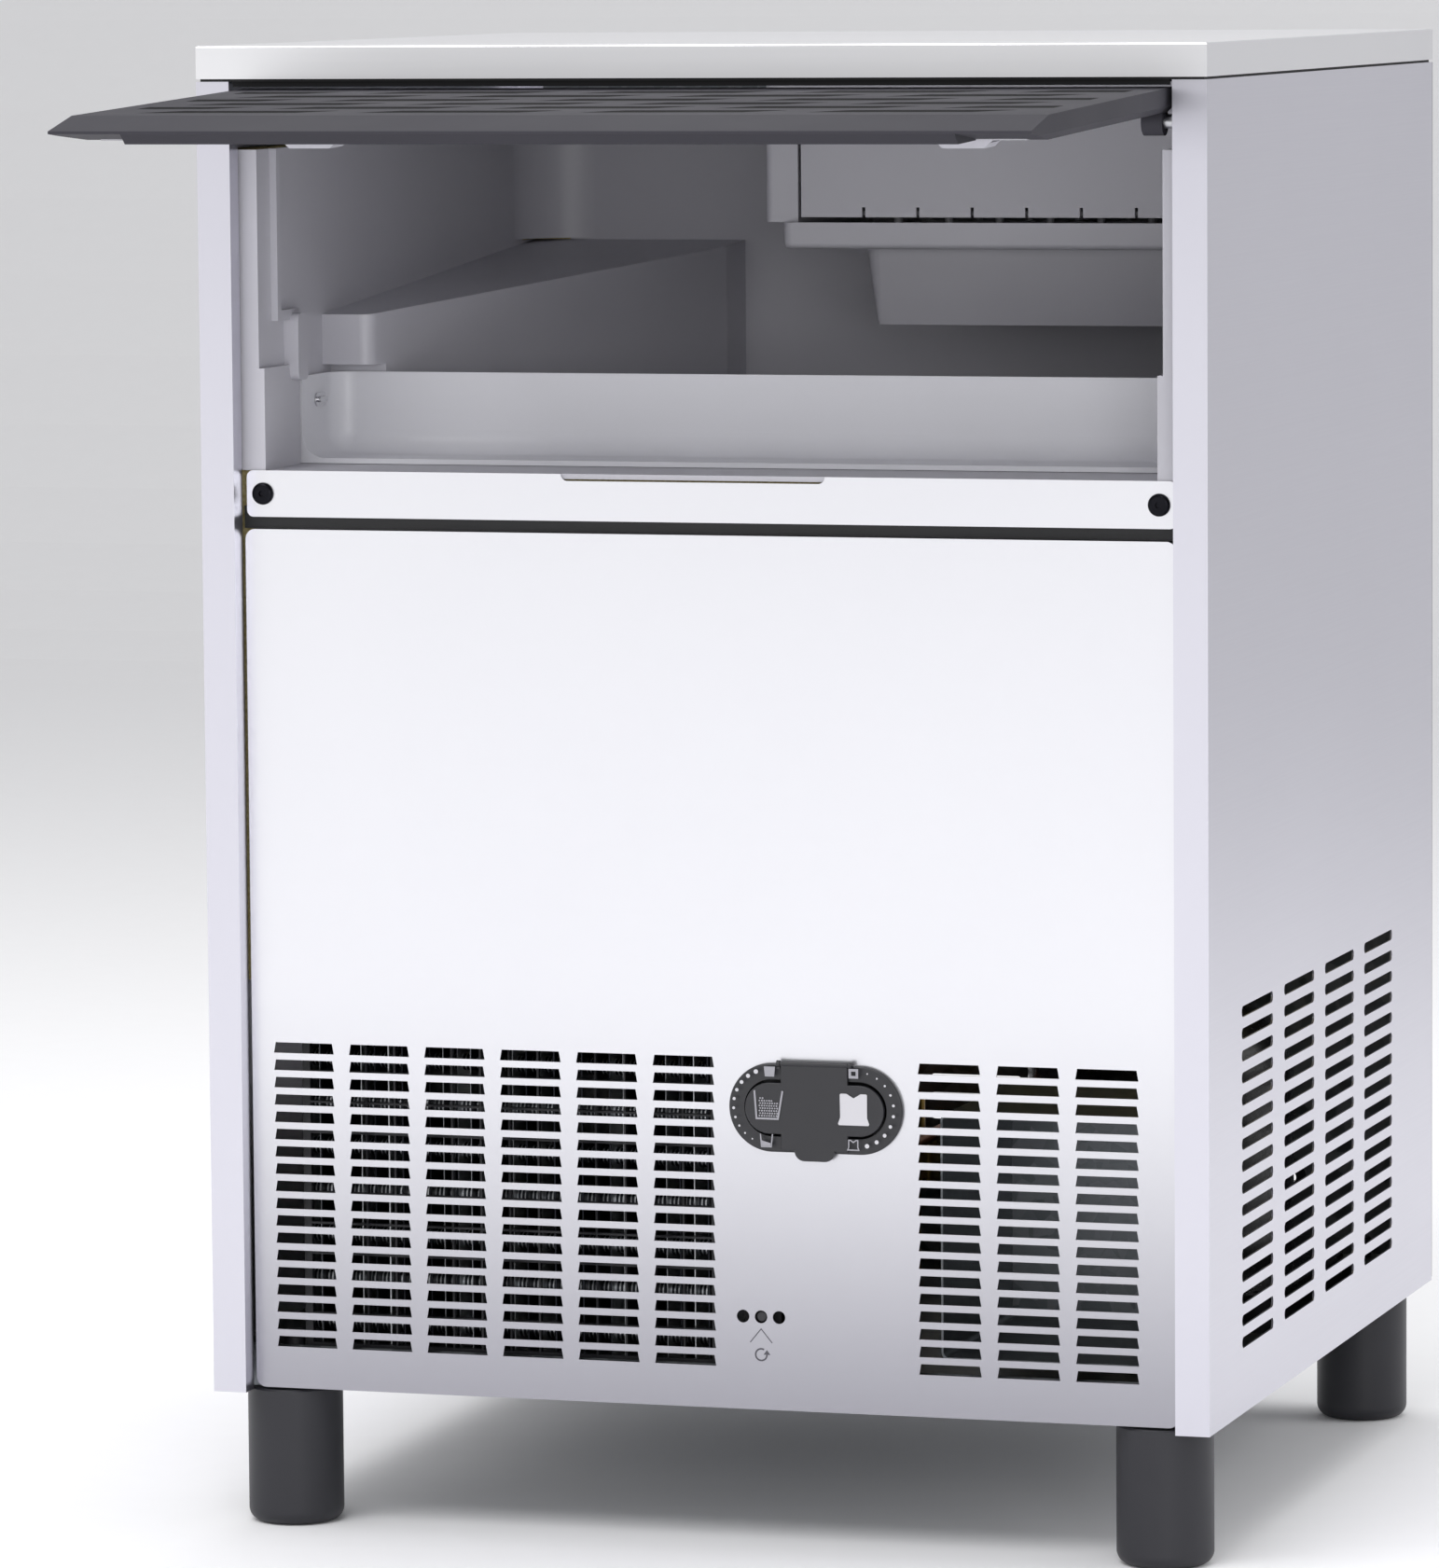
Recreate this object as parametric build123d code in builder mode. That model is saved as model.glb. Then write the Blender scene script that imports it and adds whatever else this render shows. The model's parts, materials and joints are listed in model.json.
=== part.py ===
from build123d import *

import os
from math import cos, hypot, radians, sin, tan

# Under-counter ice maker with a swing-up bin door, modelled as separate pieces.
# Millimetres. Origin on the floor below the middle of the cabinet, +Z up, the door faces -Y.
os.makedirs("parts", exist_ok=True)

# ---- overall sizes -------------------------------------------------------------------
cabinet_width = 600.0
cabinet_depth = 580.0
cabinet_height = 785.0  # cabinet without its legs
leg_height = 81.0
sheet = 1.2  # stainless sheet of the cabinet
skirt_height = 19.0  # folded edge of the worktop
gasket_thickness = 1.5  # black strip that the worktop sits on
gap = 0.3  # assembly gap between neighbouring pieces
running_gap = 0.05  # radial play of a shaft in its hole

half_width = cabinet_width / 2
front_y = -cabinet_depth / 2
back_y = cabinet_depth / 2
base_z = leg_height
top_z = leg_height + cabinet_height
skirt_z = top_z - skirt_height
body_top_z = skirt_z - gasket_thickness
skin_x = half_width - sheet  # inner face of a side skin

# ---- front of the cabinet ------------------------------------------------------------
flange_width = 20.0  # front edge of a side panel
panel_recess = 14.0  # front panel behind the flanges
panel_gap = 1.5  # gap all round the front panel
panel_height = 504.0
panel_corner = 6.0
panel_return = 10.0  # folded edges of the front panel
strip_gap = 7.0  # shadow gap between front panel and sill strip
strip_height = 27.0
strip_recess = 16.0
opening_half = half_width - flange_width
panel_y = front_y + panel_recess
panel_half = opening_half - panel_gap
panel_low_z = base_z + panel_gap
panel_top_z = panel_low_z + panel_height
strip_y = front_y + strip_recess
strip_low_z = panel_top_z + strip_gap
sill_z = strip_low_z + strip_height  # top face of the sill shelf

# ---- storage bin ---------------------------------------------------------------------
liner_wall = 3.0
side_insulation = 30.0  # cabinet side to the bin's inner face
back_insulation = 57.0
sill_depth = 140.0  # cabinet front to the bin's inner face
bin_corner = 40.0
board_gap = 0.5
board_thickness = 24.0
bin_half = half_width - side_insulation
bin_front_y = front_y + sill_depth
bin_back_y = back_y - back_insulation
bin_floor_z = base_z + 268.0
liner_top_z = body_top_z - 39.5
baffle_height = 51.0
baffle_thickness = 3.0
baffle_foot = 59.0  # depth of its foot on the sill shelf
baffle_cove = 14.0
ledge_nose = 15.0  # ledge in front of the bin's front wall, over the baffle
ledge_front_width = 30.0
ledge_back_width = 140.0
ledge_front_z = sill_z + 85.5
ledge_back_z = sill_z + 115.5

# ---- door ----------------------------------------------------------------------------
pin_radius = 4.0
pin_behind_front = 12.0
pin_z = body_top_z - 23.5
door_reach = 300.0  # pin axis to lip
door_thickness = 14.0
door_above_pin = 19.0  # outer face from the pin axis
door_behind_pin = 6.0
door_side_gap = 3.0
door_droop = 2.0  # degrees, open door nose down
door_skin = 4.0
door_bevel = 7.0
band_depth = 36.0  # smooth band along the lip, sloping down to the nose
band_drop = 6.5
nose_edge = 1.5
pin_y = front_y + pin_behind_front
door_half = opening_half - door_side_gap
door_low = door_above_pin - door_thickness

# ---- ice making unit -----------------------------------------------------------------
unit_width = 328.0  # left face to the bin's right wall
unit_depth = 193.0  # front face to the bin's back wall
unit_wall = 3.0
unit_left_x = bin_half - unit_width
unit_front_y = bin_back_y - unit_depth
unit_low_z = body_top_z - 91.5
unit_top_z = body_top_z - 3.5
post_width = 21.0
tank_inset = 56.0  # tank's left side from the unit's left face
tank_depth = 47.0
rim_height = 16.0
tank_left_x = unit_left_x + tank_inset
rim_low_z = unit_low_z - rim_height
tank_low_z = rim_low_z - tank_depth

# ---- legs ----------------------------------------------------------------------------
leg_radius = 28.0
stud_radius = 6.0
leg_inset_x = 36.0
leg_inset_y = 40.0
leg_spots = [
    ("leg_front_left", -half_width + leg_inset_x, front_y + leg_inset_y),
    ("leg_front_right", half_width - leg_inset_x, front_y + leg_inset_y),
    ("leg_back_left", -half_width + leg_inset_x, back_y - leg_inset_y),
    ("leg_back_right", half_width - leg_inset_x, back_y - leg_inset_y),
]
leg_places = [(x, y) for name, x, y in leg_spots]

# ---- front controls ------------------------------------------------------------------
control_x = 65.5
control_z = base_z + 177.5
bezel_length = 103.6
bezel_height = 51.2
bezel_proud = 3.0
bezel_depth = 16.0  # behind the front panel's face
knob_spread = 26.2  # each knob's centre from the middle
knob_radius = 12.5
knob_shaft = 3.0
reset_x = 31.2
reset_z = base_z + 55.5
reset_pitch = 10.8
reset_hole = 3.75
reset_button_radius = 3.0

# ---- vents ---------------------------------------------------------------------------
vent_length = 37.0
vent_height = 6.2
vent_pitch_x = 46.4
vent_pitch_z = 10.2
vent_rows = 18
vent_low_z = base_z + 29.0
vent_margin = 13.5  # slots to the panel's edge
vent_left_x = -panel_half + vent_margin
vent_left_end = control_x - bezel_length / 2 - 9.0
vent_right_x = control_x + bezel_length / 2 + 8.4
vent_right_end = panel_half - vent_margin
vent_left_columns = int((vent_left_end - vent_left_x - vent_length) / vent_pitch_x) + 1
vent_right_columns = int((vent_right_end - vent_right_x - vent_length) / vent_pitch_x) + 1
side_slot_length = 76.0
side_slot_height = 6.4
side_slot_pitch_y = 104.0
side_slot_pitch_z = 12.75
side_slot_columns = 4
side_slot_rows = 16
side_slot_centre_y = -18.0
side_slot_low_z = base_z + 41.0

# ---- services at the back ------------------------------------------------------------
service_proud = 14.0
inlet_radius = 13.2  # G3/4 male thread
inlet_x = -half_width + 110.0
inlet_z = base_z + 63.0
drain_radius = 10.0
drain_x = inlet_x + 70.0
drain_z = base_z + 39.0
cord_x = half_width - 90.0
cord_z = base_z + 63.0
cord_bore = 4.2
gland_radius = 11.0
hole_clearance = 1.0


# ---- base and legs -------------------------------------------------------------------
pan_rim = 25.0
pan_z = base_z + gap
pan_back_y = back_y - 2 * sheet - gap
pan_front_y = panel_y + panel_return + gap
with BuildPart() as base_pan:
    with BuildSketch(Plane.XY.offset(pan_z)):
        with Locations((0, (pan_front_y + pan_back_y) / 2)):
            Rectangle(2 * (skin_x - gap), pan_back_y - pan_front_y)
    extrude(amount=pan_rim)
    with BuildSketch(Plane.XY.offset(pan_z + sheet)):
        with Locations((0, (pan_front_y + pan_back_y) / 2)):
            Rectangle(2 * (skin_x - gap - sheet), pan_back_y - pan_front_y - 2 * sheet)
    extrude(amount=pan_rim, mode=Mode.SUBTRACT)
    with BuildSketch(Plane.XY.offset(pan_z)):
        with Locations(*leg_places):
            Circle(stud_radius + hole_clearance)
    extrude(amount=sheet, mode=Mode.SUBTRACT)
base_pan.part.label = "base_pan"
export_step(base_pan.part, "parts/base_pan.step")

bushing_radius = 14.0
bushing_height = 18.0
bushing_z = pan_z + sheet
with BuildPart() as leg_bushings:
    with BuildSketch(Plane.XY.offset(bushing_z)):
        with Locations(*leg_places):
            Circle(bushing_radius)
            Circle(stud_radius + running_gap, mode=Mode.SUBTRACT)
    extrude(amount=bushing_height)
leg_bushings.part.label = "leg_bushings"
export_step(leg_bushings.part, "parts/leg_bushings.step")

leg_round = 8.0
stud_depth = 35.0  # stud inside the leg
stud_above = 32.0  # stud above the leg, through the base
for name, x, y in leg_spots:
    with BuildPart() as leg:
        with BuildSketch():
            with Locations((x, y)):
                Circle(leg_radius)
        extrude(amount=leg_height)
        fillet(leg.edges().filter_by(GeomType.CIRCLE).sort_by(Axis.Z)[0], leg_round)
        chamfer(leg.edges().filter_by(GeomType.CIRCLE).sort_by(Axis.Z)[-1], 1.0)
        with BuildSketch(Plane.XY.offset(leg_height - stud_depth)):
            with Locations((x, y)):
                Circle(stud_radius)
        extrude(amount=stud_depth, mode=Mode.SUBTRACT)
    with BuildPart() as stud:
        with BuildSketch(Plane.XY.offset(leg_height - stud_depth)):
            with Locations((x, y)):
                Circle(stud_radius)
        extrude(amount=stud_depth + stud_above)
        chamfer(stud.edges().sort_by(Axis.Z)[-1], 1.0)
    leg_set = Compound(label=name, children=[leg.part, stud.part])
    export_step(leg_set, "parts/" + name + ".step")

# ---- side panels ---------------------------------------------------------------------
rear_flange = 18.0
notch_gap = 2.0
for name, side in (("left_side_panel", -1), ("right_side_panel", 1)):
    with BuildPart() as side_panel:
        with BuildSketch(Plane.XY.offset(base_z)):
            with Locations((side * (half_width - sheet / 2), -sheet / 2)):
                Rectangle(sheet, cabinet_depth - sheet)
            with Locations((side * (half_width - flange_width / 2), front_y + sheet / 2)):
                Rectangle(flange_width, sheet)
            with Locations((side * (opening_half + sheet / 2), front_y + (panel_recess - gap) / 2)):
                Rectangle(sheet, panel_recess - gap)
            with Locations((side * (half_width - rear_flange / 2), back_y - 1.5 * sheet)):
                Rectangle(rear_flange, sheet)
        extrude(amount=body_top_z - base_z)
        # notch in the flange's return, where the door pin passes
        with BuildSketch(Plane.YZ.offset(side * (opening_half + sheet / 2))):
            with Locations((pin_y, pin_z)):
                Rectangle(2 * (pin_radius + notch_gap), 2 * (pin_radius + notch_gap))
        extrude(amount=sheet, both=True, mode=Mode.SUBTRACT)
        if side > 0:
            middle_z = side_slot_low_z + side_slot_pitch_z * (side_slot_rows - 1) / 2
            with BuildSketch(Plane.YZ.offset(half_width)):
                with Locations((side_slot_centre_y, middle_z)):
                    pitches = (side_slot_pitch_y, side_slot_pitch_z)
                    with GridLocations(*pitches, side_slot_columns, side_slot_rows):
                        SlotOverall(side_slot_length, side_slot_height)
            extrude(amount=-sheet, mode=Mode.SUBTRACT)
    side_panel.part.label = name
    export_step(side_panel.part, "parts/" + name + ".step")

# ---- back panel ----------------------------------------------------------------------
back_slot_length = 60.0
back_slot_height = 5.0
back_slot_pitch_x = 74.0
back_slot_pitch_z = 12.0
back_slot_columns = 4
back_slot_rows = 10
back_slot_x = 40.0
back_slot_z = base_z + 148.0
back_low_z = base_z + 2.0
screw_margin = 10.0
screw_hole = 2.4
back_screw_rows = 5
screw_pitch_z = (body_top_z - back_low_z - 2 * screw_margin) / (back_screw_rows - 1)
back_middle_z = (body_top_z + back_low_z) / 2
with BuildPart() as back_panel:
    with BuildSketch(Plane.XZ.offset(-back_y)):
        with Locations((0, back_middle_z)):
            Rectangle(cabinet_width, body_top_z - back_low_z)
            with GridLocations(cabinet_width - 2 * screw_margin, screw_pitch_z, 2, back_screw_rows):
                Circle(screw_hole, mode=Mode.SUBTRACT)
        with Locations((back_slot_x, back_slot_z)):
            with GridLocations(back_slot_pitch_x, back_slot_pitch_z, back_slot_columns, back_slot_rows):
                SlotOverall(back_slot_length, back_slot_height, mode=Mode.SUBTRACT)
        with Locations((inlet_x, inlet_z)):
            Circle(inlet_radius + hole_clearance, mode=Mode.SUBTRACT)
        with Locations((drain_x, drain_z)):
            Circle(drain_radius + hole_clearance, mode=Mode.SUBTRACT)
        with Locations((cord_x, cord_z)):
            Circle(gland_radius, mode=Mode.SUBTRACT)
    extrude(amount=sheet)
back_panel.part.label = "back_panel"
export_step(back_panel.part, "parts/back_panel.step")

screw_head_radius = 4.5
screw_head_height = 2.0
with BuildPart() as back_screws:
    with BuildSketch(Plane.XZ.offset(-back_y)):
        with Locations((0, back_middle_z)):
            with GridLocations(cabinet_width - 2 * screw_margin, screw_pitch_z, 2, back_screw_rows):
                Circle(screw_head_radius)
    extrude(amount=-screw_head_height)
    with BuildSketch(Plane.XZ.offset(-back_y)):
        with Locations((0, back_middle_z)):
            with GridLocations(cabinet_width - 2 * screw_margin, screw_pitch_z, 2, back_screw_rows):
                Circle(screw_hole - running_gap)
    extrude(amount=sheet)
back_screws.part.label = "back_screws"
export_step(back_screws.part, "parts/back_screws.step")

# ---- worktop -------------------------------------------------------------------------
top_sheet = 1.5
top_round = 1.2
with BuildPart() as top_panel:
    with BuildSketch(Plane.XY.offset(skirt_z)):
        Rectangle(cabinet_width, cabinet_depth)
    extrude(amount=skirt_height)
    fillet(top_panel.faces().sort_by(Axis.Z)[-1].edges(), top_round)
    with BuildSketch(Plane.XY.offset(skirt_z)):
        Rectangle(cabinet_width - 2 * top_sheet, cabinet_depth - 2 * top_sheet)
    extrude(amount=skirt_height - top_sheet, mode=Mode.SUBTRACT)
    # turned-in lip that rests on the gasket
    with BuildSketch(Plane.XY.offset(skirt_z)):
        Rectangle(cabinet_width - top_sheet, cabinet_depth - top_sheet)
        Rectangle(cabinet_width - 2 * flange_width, cabinet_depth - 2 * flange_width, mode=Mode.SUBTRACT)
    extrude(amount=top_sheet)
top_panel.part.label = "top_panel"
export_step(top_panel.part, "parts/top_panel.step")

gasket_inset = 2.0
gasket_width = 14.0
with BuildPart() as top_gasket:
    with BuildSketch(Plane.XY.offset(body_top_z)):
        Rectangle(cabinet_width - 2 * gasket_inset, cabinet_depth - 2 * gasket_inset)
        inner_cut = 2 * (gasket_inset + gasket_width)
        Rectangle(cabinet_width - inner_cut, cabinet_depth - inner_cut, mode=Mode.SUBTRACT)
    extrude(amount=gasket_thickness)
top_gasket.part.label = "top_gasket"
export_step(top_gasket.part, "parts/top_gasket.step")

rail_height = body_top_z - pin_z - hypot(door_above_pin, door_behind_pin) - 2 * gap  # clears the door's turn
rail_depth = 14.0
rail_front_y = front_y + 2 * sheet
with BuildPart() as head_rail:
    with BuildSketch(Plane.YZ.offset(-opening_half - sheet - gap)):
        with Locations((rail_front_y + rail_depth / 2, body_top_z - sheet / 2)):
            Rectangle(rail_depth, sheet)
        with Locations((rail_front_y + sheet / 2, body_top_z - rail_height / 2)):
            Rectangle(sheet, rail_height)
    extrude(amount=2 * (opening_half + sheet + gap))
    # the ends clear the flange returns
    with BuildSketch(Plane.XY.offset(body_top_z - rail_height)):
        for side in (-1, 1):
            with Locations((side * opening_half, rail_front_y)):
                Rectangle(2 * (sheet + 2 * gap), 4 * rail_depth)
    extrude(amount=rail_height, mode=Mode.SUBTRACT)
head_rail.part.label = "head_rail"
export_step(head_rail.part, "parts/head_rail.step")

# ---- front panel ---------------------------------------------------------------------
cut_margin = 2.0  # bezel edge beyond the hole it covers
panel_middle_z = (panel_low_z + panel_top_z) / 2
vent_taper = 80.0  # degrees, slanted slot ends
vent_middle_z = vent_low_z + vent_pitch_z * (vent_rows - 1) / 2
with BuildPart() as front_panel:
    with BuildSketch(Plane.XZ.offset(-panel_y)):
        with Locations((0, panel_middle_z)):
            RectangleRounded(2 * panel_half, panel_height, panel_corner)
    extrude(amount=-panel_return)
    with BuildSketch(Plane.XZ.offset(-panel_y - sheet)):
        with Locations((0, panel_middle_z)):
            RectangleRounded(2 * (panel_half - sheet), panel_height - 2 * sheet, panel_corner - sheet)
    extrude(amount=-panel_return, mode=Mode.SUBTRACT)
    with BuildSketch(Plane.XZ.offset(-panel_y)):
        for first_x, columns in ((vent_left_x, vent_left_columns), (vent_right_x, vent_right_columns)):
            middle_x = first_x + vent_length / 2 + vent_pitch_x * (columns - 1) / 2
            with Locations((middle_x, vent_middle_z)):
                with GridLocations(vent_pitch_x, vent_pitch_z, columns, vent_rows):
                    Trapezoid(vent_length, vent_height, vent_taper)
        with Locations((control_x, control_z)):
            SlotOverall(bezel_length - 2 * cut_margin, bezel_height - 2 * cut_margin)
        with Locations((reset_x, reset_z)):
            with GridLocations(reset_pitch, 1, 3, 1):
                Circle(reset_hole)
    extrude(amount=-sheet, mode=Mode.SUBTRACT)
front_panel.part.label = "front_panel"
export_step(front_panel.part, "parts/front_panel.step")

# ---- sill strip over the front panel -------------------------------------------------
strip_half = opening_half - 2.0
strip_corner = 4.0
strip_screw_x = strip_half - 10.0
strip_screw_z = strip_low_z + strip_height / 2
notch_length = 158.0
notch_depth = 4.0
notch_x = -7.0
strip_screw_hole = 2.6
strip_screw_length = 16.0
strip_sheet = 1.0
with BuildPart() as sill_strip:
    with BuildSketch(Plane.XZ.offset(-strip_y)):
        with Locations((0, strip_low_z + strip_height / 2)):
            RectangleRounded(2 * strip_half, strip_height, strip_corner)
            with GridLocations(2 * strip_screw_x, 1, 2, 1):
                Circle(strip_screw_hole, mode=Mode.SUBTRACT)
        with Locations((notch_x, sill_z)):
            SlotOverall(notch_length, 2 * notch_depth, mode=Mode.SUBTRACT)
    extrude(amount=-strip_sheet)
sill_strip.part.label = "sill_strip"
export_step(sill_strip.part, "parts/sill_strip.step")

dome_radius = 6.5
dome_height = 2.6
hex_socket = 4.0
with BuildPart() as sill_screws:
    for side in (-1, 1):
        with BuildSketch(Plane.XZ.offset(-strip_y)):
            with Locations((side * strip_screw_x, strip_screw_z)):
                Circle(dome_radius)
        extrude(amount=dome_height)
    fillet(sill_screws.faces().sort_by(Axis.Y)[:2].edges(), dome_height * 0.8)
    for side in (-1, 1):
        with BuildSketch(Plane.XZ.offset(-strip_y + dome_height)):
            with Locations((side * strip_screw_x, strip_screw_z)):
                RegularPolygon(hex_socket / 2, 6)
        extrude(amount=-dome_height / 2, mode=Mode.SUBTRACT)
        with BuildSketch(Plane.XZ.offset(-strip_y)):
            with Locations((side * strip_screw_x, strip_screw_z)):
                Circle(strip_screw_hole - running_gap)
        extrude(amount=-strip_screw_length)
sill_screws.part.label = "sill_screws"
export_step(sill_screws.part, "parts/sill_screws.step")

# black seal behind the shadow gap over the front panel
seal_height = 13.0
seal_depth = 6.5
liner_front_y = strip_y + strip_sheet + gap
with BuildPart() as panel_seal:
    with BuildSketch(Plane.XZ.offset(-liner_front_y)):
        with Locations((0, panel_top_z + gap + seal_height / 2)):
            Rectangle(2 * opening_half, seal_height)
    extrude(amount=-seal_depth)
panel_seal.part.label = "panel_seal"
export_step(panel_seal.part, "parts/panel_seal.step")

# ---- bin liner with its sill shelf and side ledge ------------------------------------
bin_middle_y = (bin_front_y + bin_back_y) / 2
bin_length = bin_back_y - bin_front_y
front_part = -liner_front_y + bin_front_y + 2 * bin_corner  # straight stretch behind the opening
front_part_y = liner_front_y + front_part / 2
ledge_front_y = bin_front_y - ledge_nose
ledge_low_z = sill_z + baffle_height + 5.0  # underside of the nose, clear of the baffle
ledge_corner = 9.0
ledge_plan = [
    (-bin_half - 1, ledge_front_y),
    (-bin_half + ledge_front_width, ledge_front_y),
    (-bin_half + ledge_back_width, bin_back_y - bin_corner),
    (-bin_half + ledge_back_width, bin_back_y + 1),
    (-bin_half - 1, bin_back_y + 1),
]
ledge_slope = [
    (ledge_front_y - 1, ledge_front_z),
    (bin_back_y, ledge_back_z),
    (bin_back_y, ledge_back_z + 1),
    (ledge_front_y - 1, ledge_back_z + 1),
]
pocket_plan = [
    (-bin_half - liner_wall - 1, bin_front_y + 2 * liner_wall),
    (-bin_half + ledge_front_width - 2 * liner_wall, bin_front_y + 2 * liner_wall),
    (-bin_half + ledge_back_width - 2 * liner_wall, bin_back_y - bin_corner),
    (-bin_half - liner_wall - 1, bin_back_y - bin_corner),
]
slot_y = bin_front_y - gap - baffle_foot  # front edge of the baffle
slot_width = 4.0
jamb_height = baffle_height + 8.0
post_depth = 17.0
post_height = 30.0
post_proud = 9.0
post_corner = 5.0
rim_width = 6.0
rim_proud = 4.0
rim_back = 22.0  # L-shaped rim's upright behind the flange
post_back_y = slot_y - slot_width
post_front_y = post_back_y - post_depth
post_low_z = sill_z + jamb_height - post_proud
post_top_z = sill_z + jamb_height + post_height
rim_y = liner_front_y + rim_back
rim_plan = [
    (rim_y, liner_top_z),
    (rim_y, ledge_front_z),
    (post_back_y, ledge_front_z),
    (post_back_y, ledge_front_z + rim_width),
    (rim_y + rim_width, ledge_front_z + rim_width),
    (rim_y + rim_width, liner_top_z),
]
with BuildPart() as bin_liner:
    with BuildSketch(Plane.XY.offset(bin_floor_z - liner_wall)):
        with Locations((0, bin_middle_y)):
            outer_length = bin_length + 2 * liner_wall
            RectangleRounded(2 * (bin_half + liner_wall), outer_length, bin_corner + liner_wall)
    extrude(amount=liner_top_z - bin_floor_z + liner_wall)
    with BuildSketch(Plane.XY.offset(sill_z - liner_wall)):
        with Locations((0, front_part_y)):
            Rectangle(2 * (bin_half + liner_wall), front_part)
    extrude(amount=liner_top_z - sill_z + liner_wall)
    with BuildSketch(Plane.XY.offset(bin_floor_z)):
        with Locations((0, bin_middle_y)):
            RectangleRounded(2 * bin_half, bin_length, bin_corner)
    extrude(amount=liner_top_z - bin_floor_z, mode=Mode.SUBTRACT)
    with BuildSketch(Plane.XY.offset(sill_z)):
        with Locations((0, front_part_y - 1)):
            Rectangle(2 * bin_half, front_part + 2)
    extrude(amount=liner_top_z - sill_z, mode=Mode.SUBTRACT)
    # flange over the foam on both sides of the opening
    with BuildSketch(Plane.XZ.offset(-liner_front_y)):
        for side in (-1, 1):
            with Locations((side * (bin_half + skin_x - gap) / 2, (sill_z + liner_top_z) / 2)):
                Rectangle(skin_x - gap - bin_half, liner_top_z - sill_z)
    extrude(amount=-liner_wall)
    # ledge moulded into the left wall, open to the foam behind, with a nose over the baffle
    half_wall = liner_wall / 2
    with BuildSketch(Plane.XY.offset(bin_floor_z - half_wall)):
        with BuildLine():
            Polyline(*ledge_plan, close=True)
        make_face()
        with Locations((0, bin_middle_y)):
            wall_round = bin_corner + half_wall
            wall_width = 2 * (bin_half + half_wall)
            RectangleRounded(wall_width, bin_length + liner_wall, wall_round, mode=Mode.INTERSECT)
    extrude(amount=sill_z - bin_floor_z)
    with BuildSketch(Plane.XY.offset(sill_z - liner_wall)):
        with BuildLine():
            Polyline(*ledge_plan, close=True)
        make_face()
        with Locations((0, bin_back_y - bin_corner)):
            Rectangle(2 * (bin_half + half_wall), 2 * (bin_length - bin_corner), mode=Mode.INTERSECT)
        with Locations((0, bin_middle_y - bin_corner)):
            wall_length = bin_length + liner_wall + 2 * bin_corner
            RectangleRounded(wall_width, wall_length, wall_round, mode=Mode.INTERSECT)
    extrude(amount=ledge_back_z - sill_z + liner_wall)
    with BuildSketch(Plane.XY.offset(ledge_low_z)) as ledge_top:
        with BuildLine():
            Polyline(*ledge_plan, close=True)
        make_face()
        fillet(ledge_top.vertices().group_by(Axis.Y)[0].sort_by(Axis.X)[-1], ledge_corner)
    extrude(amount=ledge_back_z - ledge_low_z)
    with BuildSketch(Plane.YZ.offset(-bin_half)):
        with BuildLine():
            Polyline(*ledge_slope, close=True)
        make_face()
    extrude(amount=ledge_back_width + 1, mode=Mode.SUBTRACT)
    with BuildSketch(Plane.XY.offset(bin_floor_z - liner_wall - 1)):
        with BuildLine():
            Polyline(*pocket_plan, close=True)
        make_face()
    extrude(amount=ledge_front_z - bin_floor_z - liner_wall + 1, mode=Mode.SUBTRACT)
    # raised details on both jambs: seat beside the baffle's wing, post and L-shaped rim
    for side in (-1, 1):
        wall_plane = Plane.YZ.offset(side * (bin_half + 1))
        with BuildSketch(wall_plane):
            with Locations(((liner_front_y + post_back_y) / 2, sill_z + (jamb_height - 1) / 2)):
                Rectangle(post_back_y - liner_front_y, jamb_height + 1)
        extrude(amount=-side * (baffle_thickness + gap + 1))
        with BuildSketch(wall_plane):
            with Locations(((post_front_y + post_back_y) / 2, (post_low_z + post_top_z) / 2)):
                RectangleRounded(post_depth, post_top_z - post_low_z, post_corner)
        extrude(amount=-side * (post_proud + 1))
        with BuildSketch(wall_plane):
            with BuildLine():
                Polyline(*rim_plan, close=True)
            make_face()
        extrude(amount=-side * (rim_proud + 1))
bin_liner.part.label = "bin_liner"
export_step(bin_liner.part, "parts/bin_liner.step")

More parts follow.
